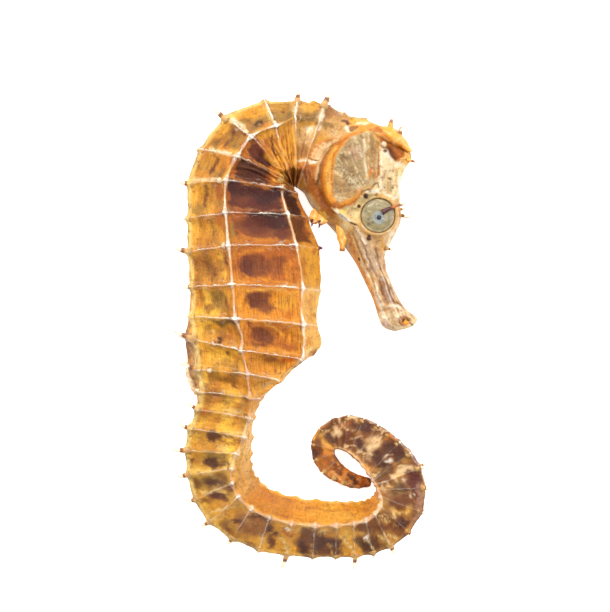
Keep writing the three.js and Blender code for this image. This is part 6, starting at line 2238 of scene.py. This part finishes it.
@dataclass
class Spines:
    """All spines and tubercles of the rings and of the head, as one joined mesh each."""

    shape: BodyShape
    shop: Workshop
    # Height and radius shares of a spine, from under the skin to its blunt tip.
    profile: tuple[tuple[float, float], ...] = (
        (-0.5, 1.7), (-0.1, 1.35), (0.2, 0.9), (0.5, 0.72), (0.75, 0.62), (0.93, 0.48), (1.0, 0.15))
    knob_profile: tuple[tuple[float, float], ...] = (
        (-0.6, 1.35), (-0.1, 1.2), (0.3, 1.05), (0.65, 0.9), (0.88, 0.6), (1.0, 0.2))
    growth: float = 1.45           # of the listed heights of the upper spines
    last_height: float = 0.35      # of the upper spines past the list, in mm
    hip_rings: tuple[int, int] = (11, 12)
    hip_way: Place = (-0.98, 0.2, 0.12)
    unsteady: float = 0.14         # how far a spine strays from its way
    sides: int = 8

    def ring_spines(self) -> list[Spine]:
        """The spines where ridges cross rings.

        Returns:
            The spines.
        """
        found = []
        chance = np.random.default_rng(7)
        for ring in range(1, 45):
            part = self.shape.section(ring)
            size = float(np.clip(part.half_depth[0] / 5, 0.32, 1))
            tall = UPPER_SPINES[ring - 1] * self.growth if ring <= len(UPPER_SPINES) else self.last_height
            wanted = [(1, tall, 0.34, SpineKind.RINGED, 0.45)]
            if 3 < ring < 25:
                wanted.append((2, (0.55 if ring < 14 else 0.4) * size, 0.46, SpineKind.KNOB, 1.0))
            if 5 < ring < 12:
                wanted.append((3, 0.45, 0.36, SpineKind.KNOB, 1.0))
            if ring in BELLY_POINTS:
                wanted.append((4, 0.8, 0.34, BELLY_POINTS[ring], 0.0))
            wanted += [(track, 0.5, 0.44, SpineKind.KNOB, 1.0) for place, track in EXTRA_KNOBS
                       if place == ring]
            for ridge, height, radius, kind, lean in wanted:
                for sign in ((1,) if ridge == 4 else (1, -1)):
                    foot, out = self.shape.ridge_point(ring, ridge, sign, lean)
                    long = height * chance.uniform(0.85, 1.15) * (1 if sign > 0 else 0.85)
                    wide = ((radius * (0.75 + 0.25 * size) + 0.07 * min(tall, 2.0) * (ridge == 1))
                            * chance.uniform(0.85, 1.15))
                    if ring in self.hip_rings and ridge == 1:
                        out = np.array([*self.hip_way[:2], self.hip_way[2] * sign])
                    out = unit(out + chance.normal(0, self.unsteady, 3))
                    found.append(Spine(tuple(foot), tuple(out), long, wide, kind))
        return found

    def head_spines(self) -> list[Spine]:
        """The spines of the head, both sides.

        Returns:
            The spines.
        """
        found = []
        for (x, y), out, towards, height, radius, kind in HEAD_SPINES:
            for sign in (1, -1):
                foot = (x, y, HEAD_LEVEL + sign * out)
                found.append(Spine(foot, (towards[0], towards[1], towards[2] * sign), height, radius, kind))
        return found

    def joined(self, name: str, spines: list[Spine]) -> Piece:
        """Copies the modelled spine or knob to every place and joins the copies.

        Args:
            name: the piece's name.
            spines: the spines.

        Returns:
            The piece.
        """
        patterns = {}
        for kind, profile in ((False, self.profile), (True, self.knob_profile)):
            template = self.shop.turned(name, profile, self.sides)
            patterns[kind] = self.shop.points(template), [list(p.vertices) for p in template.data.polygons]
            bpy.data.objects.remove(template)
        places, polygons = [], []
        layers = {key: [] for key in ("height", "dark", "brow", "knob", "arc")}
        count = 0
        for spine in spines:
            pattern, faces = patterns[spine.kind is SpineKind.KNOB]
            up = unit(np.array(spine.towards))
            side = unit(np.cross(up, (0.3, 0.1, 0.9)))
            front = np.cross(up, side)
            rise = np.where(pattern[:, 2] < 0, 0.8, spine.height)
            bend = np.square(np.clip(pattern[:, 2], 0, 1)) * 0.14 * spine.height
            lay = (np.outer(pattern[:, 0] * spine.radius + bend, side)
                   + np.outer(pattern[:, 1] * spine.radius, front)
                   + np.outer(pattern[:, 2] * rise, up))
            places.append(np.array(spine.foot) + lay)
            polygons += [[v + count for v in face] for face in faces]
            count += len(pattern)
            turn = spine.foot[0] * 1.7 + spine.foot[1]
            angle = np.arctan2(pattern[:, 1], pattern[:, 0])
            layers["height"].append(np.clip(pattern[:, 2], 0, 1))
            layers["arc"].append(0.5 + 0.5 * np.cos(angle - turn))
            for key, kind in (("dark", SpineKind.DARK), ("brow", SpineKind.BROW), ("knob", SpineKind.KNOB)):
                layers[key].append(np.full(len(pattern), float(spine.kind is kind)))
        mesh = bpy.data.meshes.new(name)
        mesh.from_pydata(np.concatenate(places).tolist(), [], polygons)
        made = bpy.data.objects.new(name, mesh)
        bpy.context.scene.collection.objects.link(made)
        for layer, values in layers.items():
            self.shop.paint(made, layer, np.concatenate(values))
        return made

    def make(self) -> list[Piece]:
        """Builds both sets.

        Returns:
            The two pieces.
        """
        material = SpineFinish().material()
        pieces = []
        for name, spines in (("ring_spines", self.ring_spines()), ("head_spines", self.head_spines())):
            made = self.joined(name, spines)
            self.shop.place(made, material)
            settle(made)
            pieces.append(made)
        return pieces


# Head spines: place, distance from the middle plane, direction, height, radius, kind.
HEAD_SPINES = (
    ((13.0, 18.35), 3.9, (0.88, 0.46, 0.10), 3.8, 0.32, SpineKind.BROW),
    ((15.2, 17.8), 1.2, (0.99, -0.08, 0.15), 2.1, 0.34, SpineKind.RINGED),
    ((15.3, 18.6), 1.5, (0.95, 0.35, 0.1), 1.2, 0.30, SpineKind.RINGED),
    ((6.6, 33.1), 0.8, (-0.1, 1.0, 0.1), 0.9, 0.40, SpineKind.RINGED),
    ((5.2, 18.7), 4.3, (0.70, -0.62, 0.42), 1.2, 0.40, SpineKind.KNOB),
    ((1.7, 16.7), 1.3, (-0.1, -0.97, 0.2), 0.7, 0.2, SpineKind.DARK),
    ((2.85, 16.5), 1.6, (-0.1, -0.97, 0.2), 0.75, 0.2, SpineKind.DARK),
    ((13.5, 12.5), 1.2, (0.98, -0.15, 0.2), 1.1, 0.24, SpineKind.RINGED),
    ((10.1, 20.7), 4.4, (0.0, 0.1, 1.0), 0.3, 0.28, SpineKind.DARK),
    ((8.9, 19.2), 4.3, (0.0, 0.1, 1.0), 0.3, 0.26, SpineKind.DARK),
    ((10.6, 14.1), 3.3, (0.0, -0.2, 1.0), 0.4, 0.36, SpineKind.DARK),
    ((12.9, 28.9), 3.0, (-0.1, 0.2, 0.9), 0.6, 0.42, SpineKind.KNOB),
)


# ---- Coronet --------------------------------------------------------------------------------


@dataclass
class Coronet:
    """The bony crown: a yellow lump with spines, fused and smoothed."""

    shop: Workshop
    middle: Place = (14.2, 30.3, 4.9)
    radii: Place = (2.5, 1.35, 1.9)
    turn: float = -28.0
    grain: float = 0.11            # of the fused lump, in mm
    unevenness: float = 0.14
    # Foot, tip and radius at the foot of each point, in mm from the middle plane.
    points: tuple[tuple[Place, Place, float], ...] = (
        ((13.9, 31.0, 0.7), (14.25, 33.5, 1.1), 0.62), ((15.3, 30.4, -0.8), (16.1, 32.2, -1.4), 0.6),
        ((15.4, 30.2, 0.8), (15.9, 31.6, 1.6), 0.55), ((16.6, 26.6, 0.1), (18.4, 26.1, 0.4), 0.36),
        ((11.4, 31.0, 0.4), (13.4, 30.8, 0.6), 0.8), ((15.4, 29.8, 0.4), (17.3, 27.8, 0.3), 0.95),
        ((15.4, 29.8, -0.4), (17.2, 27.6, -0.5), 0.9))

    def make(self) -> Piece:
        """Builds the crown.

        Returns:
            The piece.
        """
        self.shop.clear()
        bpy.ops.mesh.primitive_uv_sphere_add(segments=24, ring_count=12, radius=1.0)
        stump = bpy.context.object
        bpy.ops.transform.resize(value=self.radii, center_override=(0, 0, 0))
        stump.rotation_euler = (0, 0, math.radians(self.turn))
        stump.location = self.middle
        parts = [stump]
        for foot, tip, radius in self.points:
            low, high = (Vector((at[0], at[1], HEAD_LEVEL + at[2])) for at in (foot, tip))
            way = high - low
            bpy.ops.mesh.primitive_cone_add(vertices=16, radius1=radius, radius2=radius * 0.35,
                                            depth=way.length,
                                            location=(low + high) / 2,
                                            rotation=way.to_track_quat("Z", "Y").to_euler())
            parts.append(bpy.context.object)
        self.shop.clear()
        for part in parts:
            part.select_set(True)
        bpy.context.view_layer.objects.active = stump
        bpy.ops.object.join()
        bpy.ops.object.transform_apply(location=True, rotation=True, scale=True)
        stump.name = stump.data.name = "coronet_bone"
        fuse = stump.modifiers.new("fuse", "REMESH")
        fuse.mode = "VOXEL"
        fuse.voxel_size = self.grain
        bpy.ops.object.modifier_apply(modifier=fuse.name)
        relax = stump.modifiers.new("relax", "SMOOTH")
        relax.factor = 0.6
        relax.iterations = 6
        bpy.ops.object.modifier_apply(modifier=relax.name)
        points = self.shop.points(stump)
        brown, tip = np.zeros(len(points)), np.zeros(len(points))
        for _, end, _ in self.points[:4]:
            gap = np.linalg.norm(points - np.array([end[0], end[1], HEAD_LEVEL + end[2]]), axis=1)
            brown = np.maximum(brown, window(0.65, 1.0, 0.25, gap))
            tip = np.maximum(tip, smooth(0.7, 0.45, gap))
        wobble = cloud(points[:, 0] * 2, points[:, 1] * 2 + points[:, 2], 71, 1.4)
        self.shop.move(stump, points + unit(points - np.array(self.middle)) * wobble[:, None]
                       * self.unevenness)
        self.shop.paint(stump, "brown", brown * 0.9)
        self.shop.paint(stump, "left", smooth(14.4, 12.2, points[:, 0]))
        self.shop.paint(stump, "tip", tip * 0.8)
        self.shop.place(stump, CoronetFinish().material())
        settle(stump, ("coronet",))
        return stump


# ---- Eyes -----------------------------------------------------------------------------------


@dataclass
class Eye:
    """A dried eye, slightly domed and dished round its pupil."""

    shop: Workshop
    sign: int
    thickness: float = 1.45
    pupil: tuple[float, float] = (0.06, -0.117)      # off the middle, in radii
    # Dark flecks: degrees round the eye, distance out and size, in radii.
    flecks: tuple[Place, ...] = (
        (200, 0.62, 0.07), (222, 0.74, 0.06), (232, 0.5, 0.07), (160, 0.8, 0.05), (30, 0.85, 0.06),
        (250, 0.82, 0.04))
    # Dark arcs: distance out, then the degrees between which each runs.
    arcs: tuple[Place, ...] = ((0.84, -75, 55), (0.70, -48, 8))

    def make(self) -> Piece:
        """Builds the eye.

        Returns:
            The piece.
        """
        self.shop.clear()
        bpy.ops.mesh.primitive_uv_sphere_add(segments=72, ring_count=40, radius=1.0)
        made = bpy.context.object
        name = "eye_right" if self.sign > 0 else "eye_left"
        made.name = made.data.name = f"{name}_lens"
        points = self.shop.points(made)
        out = np.hypot(points[:, 0], points[:, 1])
        top = points[:, 2] > 0
        dome = np.where(top, np.sqrt(np.clip(1 - (out * 0.6) ** 2, 0, 1)) - 0.06 * bell(out - 0.9, 0.14),
                        points[:, 2])
        dome -= np.where(top, 0.06 * bell(out - 0.26, 0.09), 0)
        dome += np.where(top, 0.03 * cloud(points[:, 0] * 3, points[:, 1] * 3, 81, 0.9), 0)
        angle = np.arctan2(points[:, 1], points[:, 0] * self.sign)
        fleck = np.zeros(len(points))
        for turn, far, size in self.flecks:
            at = far * math.cos(math.radians(turn)), far * math.sin(math.radians(turn))
            gap = np.hypot(out * np.cos(angle) - at[0], out * np.sin(angle) - at[1])
            fleck = np.maximum(fleck, smooth(size * 1.6, size * 0.7, gap))
        degrees = np.degrees(angle)
        for far, first, last in self.arcs:
            fleck = np.maximum(fleck, bell(out - far, 0.03) * window(first, last, 12, degrees) * 0.55)
        shaped = np.stack([points[:, 0] * EYE_RADIUS, points[:, 1] * EYE_RADIUS,
                           dome * self.thickness * self.sign], -1)
        self.shop.move(made, shaped + np.array([*EYE_AT, HEAD_LEVEL + self.sign * EYE_OUT]))
        self.shop.paint(made, "out", out)
        self.shop.paint(made, "pupil", np.hypot(points[:, 0] - self.pupil[0], points[:, 1] - self.pupil[1]))
        self.shop.paint(made, "fleck", fleck * 0.85)
        self.shop.weld(made)
        self.shop.place(made, EyeFinish().material())
        settle(made, (name,))
        return made


# ---- Fins -----------------------------------------------------------------------------------


@dataclass
class PectoralFin:
    """The fan of a pectoral fin, folded back flat against the neck."""

    shop: Workshop
    skin: Piece
    sign: int
    # The fin's foot in the groove behind the gill cover, and its outer edge: share, X, Y.
    foot: tuple[Place, ...] = ((0, 2.7, 25.9), (0.35, 3.5, 27.4), (0.7, 4.6, 28.6), (1, 6.2, 29.6))
    edge: tuple[Place, ...] = (
        (0, 1.6, 26.2), (0.18, 1.1, 27.0), (0.4, 1.5, 28.2), (0.6, 2.6, 29.1), (0.8, 4.2, 29.6),
        (1, 6.3, 29.9))
    rays: int = 8
    lift: float = 0.16
    thickness: float = 0.12

    def make(self) -> Piece:
        """Builds the fin.

        Returns:
            The piece.
        """
        columns, rows = 88, 26
        name = "pectoral_fin_right" if self.sign > 0 else "pectoral_fin_left"
        made, column, row = self.shop.grid(f"{name}_fan", columns, rows)
        turn, far = column / columns, row / rows
        foot, edge = (natural_spline(np.array(line), turn) for line in (self.foot, self.edge))
        ray = np.cos(np.pi * turn * self.rays) ** 2
        reach = far * (1 + 0.05 * uneven(turn * 12, 95) + 0.03 * ray)
        x, y = (foot[:, k] + (edge[:, k] - foot[:, k]) * reach for k in range(2))
        lift = self.lift * np.sin(np.pi * 0.7 * far) + ray * 0.06 * far - 0.35 * smooth(0.12, 0.0, far)
        lift = lift - 0.4 * (smooth(0.10, 0.0, turn) + smooth(0.90, 1.0, turn)) + 0.05 * cloud(x, y, 96, 0.8)
        z = self.shop.top_of(self.skin, x, y, self.sign) + self.sign * lift
        self.shop.move(made, np.stack([x, y, z], -1))
        self.shop.paint(made, "ray", 0.22 * ray * smooth(1.0, 0.7, far))
        self.shop.paint(made, "border", np.maximum(window(0.76, 1.1, 0.05, far),
                                                   0.5 * window(0.52, 0.6, 0.06, far)))
        self.shop.thicken(made, self.thickness)
        self.shop.place(made, FinFinish().material())
        settle(made, (name,))
        return made


@dataclass
class DorsalFin:
    """What is left of the dorsal fin: a shrunken strip on the back over the hips."""

    shape: BodyShape
    shop: Workshop
    first: float = 12.05
    last: float = 13.3
    height: float = 0.7
    rays: int = 15
    thickness: float = 0.14
    level: float = 6.35            # its height over the floor, in mm
    sunk: float = 0.5              # how far its foot lies under the skin, in mm
    finish: FinFinish = FinFinish("dorsal fin membrane", shade(212, 180, 140), shade(236, 212, 176),
                                  shade(140, 100, 66), shade(168, 126, 92))

    def make(self) -> Piece:
        """Builds the fin.

        Returns:
            The piece.
        """
        columns, rows = 96, 14
        made, column, row = self.shop.grid("dorsal_fin_strip", columns, rows)
        share, far = column / columns, row / rows
        part = self.shape.section(self.first + (self.last - self.first) * share)
        rise = self.height * np.sin(np.pi * (0.1 + 0.8 * share)) * (1 + 0.35 * uneven(share * 16, 91)) + 0.2
        out = part.half_depth - self.sunk + (self.sunk + rise) * far
        ray = np.cos(np.pi * share * self.rays) ** 2 * smooth(0.0, 0.6, uneven(share * 9, 93)) * 0.5
        points = part.middle - part.across * out[:, None]
        points[:, 2] = self.level + ray * 0.08 + 0.35 * far * uneven(share * 9, 92)
        self.shop.move(made, points)
        self.shop.paint(made, "ray", 0.5 + 0.5 * far)
        self.shop.paint(made, "border", smooth(0.75, 0.3, far) * 0.7)
        self.shop.thicken(made, self.thickness)
        self.shop.place(made, self.finish.material())
        settle(made, ("dorsal_fin",))
        return made


@dataclass
class Flap:
    """A thin leaf of dried skin that hangs from the head."""

    shop: Workshop
    sign: int
    name: str
    left: Line
    right: Line
    out: tuple[float, float]       # from the middle plane, at its top and its bottom
    thickness: float = 0.18
    colours: tuple[Colour, ...] = (shade(206, 142, 52), shade(226, 176, 96), shade(140, 78, 34),
                                   shade(196, 112, 30))

    def make(self) -> Piece:
        """Builds the leaf between its two edges, from the top down.

        Returns:
            The piece.
        """
        columns, rows = 16, 28
        side = "right" if self.sign > 0 else "left"
        made, column, row = self.shop.grid(f"{self.name}_{side}", columns, rows)
        share, down = column / columns, row / rows
        edges = []
        for edge in (self.left, self.right):
            steps = np.linspace(0, 1, len(edge))
            edges.append([np.interp(down, steps, [corner[k] for corner in edge]) for k in range(2)])
        x, y = (edges[0][k] + (edges[1][k] - edges[0][k]) * share for k in range(2))
        x = x + 0.16 * cloud(y * 1.7, share * 3, 98, 0.8) * smooth(0.0, 0.3, down)
        fold = np.sin(np.pi * share) * 0.35 * smooth(0, 0.3, down) + 0.22 * cloud(x, y, 97, 0.7)
        z = HEAD_LEVEL + self.sign * (self.out[0] + (self.out[1] - self.out[0]) * down + fold)
        self.shop.move(made, np.stack([x, y, z], -1))
        self.shop.paint(made, "ray", np.cos(np.pi * share * 2.5) ** 2)
        self.shop.paint(made, "border", smooth(0.86, 0.95, down) * 0.8)
        self.shop.thicken(made, self.thickness)
        self.shop.place(made, FinFinish(f"{self.name} skin", *self.colours).material())
        settle(made)
        return made


# Leaves of the cheek and throat: name, left edge, right edge, height at top and bottom.
FLAPS = (
    ("cheek_leaf", [(5.0, 18.8), (5.1, 16.8), (5.6, 14.8), (5.9, 13.2), (6.1, 12.1)],
     [(6.2, 18.3), (6.8, 16.6), (7.0, 14.8), (7.0, 13.2), (6.6, 12.1)], (2.4, 1.9)),
    ("throat_leaf", [(2.3, 19.6), (1.6, 18.4), (1.3, 17.4), (1.5, 16.5)],
     [(3.6, 19.2), (3.3, 18.0), (3.0, 17.0), (2.3, 16.4)], (0.8, 1.3)),
    ("chin_leaf", [(2.9, 19.2), (2.7, 17.6), (2.6, 16.5)],
     [(5.4, 18.4), (5.2, 17.2), (4.2, 16.7), (3.1, 16.2)], (1.0, 1.6)),
)


# ---- Studio ---------------------------------------------------------------------------------


@dataclass
class Studio:
    """Pale floor, soft light and a camera that looks straight down."""

    shop: Workshop
    view_width: float = 0.0976
    view_centre: tuple[float, float] = (0.5, 3.4)
    distance: float = 0.7
    sensor: float = 36.0
    sky: Colour = (1.0, 0.995, 0.985)
    sky_strength: float = 0.48
    # Lamps: name, place and side in metres, power in watts, tint.
    lamps: tuple[tuple[str, Place, float, float, Colour], ...] = (
        ("key", (-0.24, 0.40, 0.50), 0.26, 6.2, (1.0, 0.98, 0.95)),
        ("fill", (0.42, 0.02, 0.46), 0.32, 3.4, (1.0, 0.99, 0.98)))

    def floor(self) -> None:
        """Lays the floor."""
        self.shop.clear()
        bpy.ops.mesh.primitive_plane_add(size=4.0, location=(0, 0, 0))
        made = bpy.context.object
        made.name = made.data.name = "studio_floor"
        made.data.materials.append(FloorFinish().material())

    def light(self, name: str, place: Place, size: float, power: float, colour: Colour) -> None:
        """Hangs a square light that faces the fish.

        Args:
            name: its name.
            place: where, in metres.
            size: its side, in metres.
            power: in watts.
            colour: its tint.
        """
        self.shop.clear()
        bpy.ops.object.light_add(type="AREA", location=place)
        lamp = bpy.context.object
        lamp.name = name
        lamp.data.size = size
        lamp.data.energy = power
        lamp.data.color = colour
        lamp.rotation_euler = (-Vector(place)).to_track_quat("-Z", "Y").to_euler()

    def lights(self) -> None:
        """Sets the world and the lamps."""
        world = bpy.data.worlds.new("studio")
        bpy.context.scene.world = world
        world.use_nodes = True
        background = world.node_tree.nodes["Background"]
        background.inputs["Color"].default_value = (*self.sky, 1.0)
        background.inputs["Strength"].default_value = self.sky_strength
        for lamp in self.lamps:
            self.light(*lamp)

    def camera(self) -> None:
        """Puts the camera over the fish."""
        data = bpy.data.cameras.new("camera")
        made = bpy.data.objects.new("camera", data)
        bpy.context.scene.collection.objects.link(made)
        data.sensor_width = self.sensor
        data.lens = self.sensor * self.distance / self.view_width
        data.clip_start = 0.01
        x, y = (value * MM for value in self.view_centre)
        made.location = (x + self.shop.datum[0], y + self.shop.datum[1], self.distance)
        bpy.context.scene.camera = made

    def make(self) -> None:
        """Sets up everything."""
        self.camera()
        self.floor()
        self.lights()
        scene = bpy.context.scene
        scene.view_settings.view_transform = "Standard"
        scene.view_settings.look = "None"


def main() -> None:
    """Builds the specimen and its studio."""
    logging.basicConfig(level=logging.INFO, format="%(name)s %(message)s")
    shop = Workshop()
    shape = BodyShape()
    Studio(shop).make()
    skin = Skin(shape, shop).make()
    pieces = [skin, *Spines(shape, shop).make(), Coronet(shop).make()]
    for sign in (1, -1):
        pieces += [Eye(shop, sign).make(), PectoralFin(shop, skin, sign).make()]
        pieces += [Flap(shop, sign, *leaf).make() for leaf in FLAPS]
    pieces.append(DorsalFin(shape, shop).make())
    for piece in pieces:
        log.info("%s: %d faces", piece.name, len(piece.data.polygons))


if __name__ == "__main__":
    main()
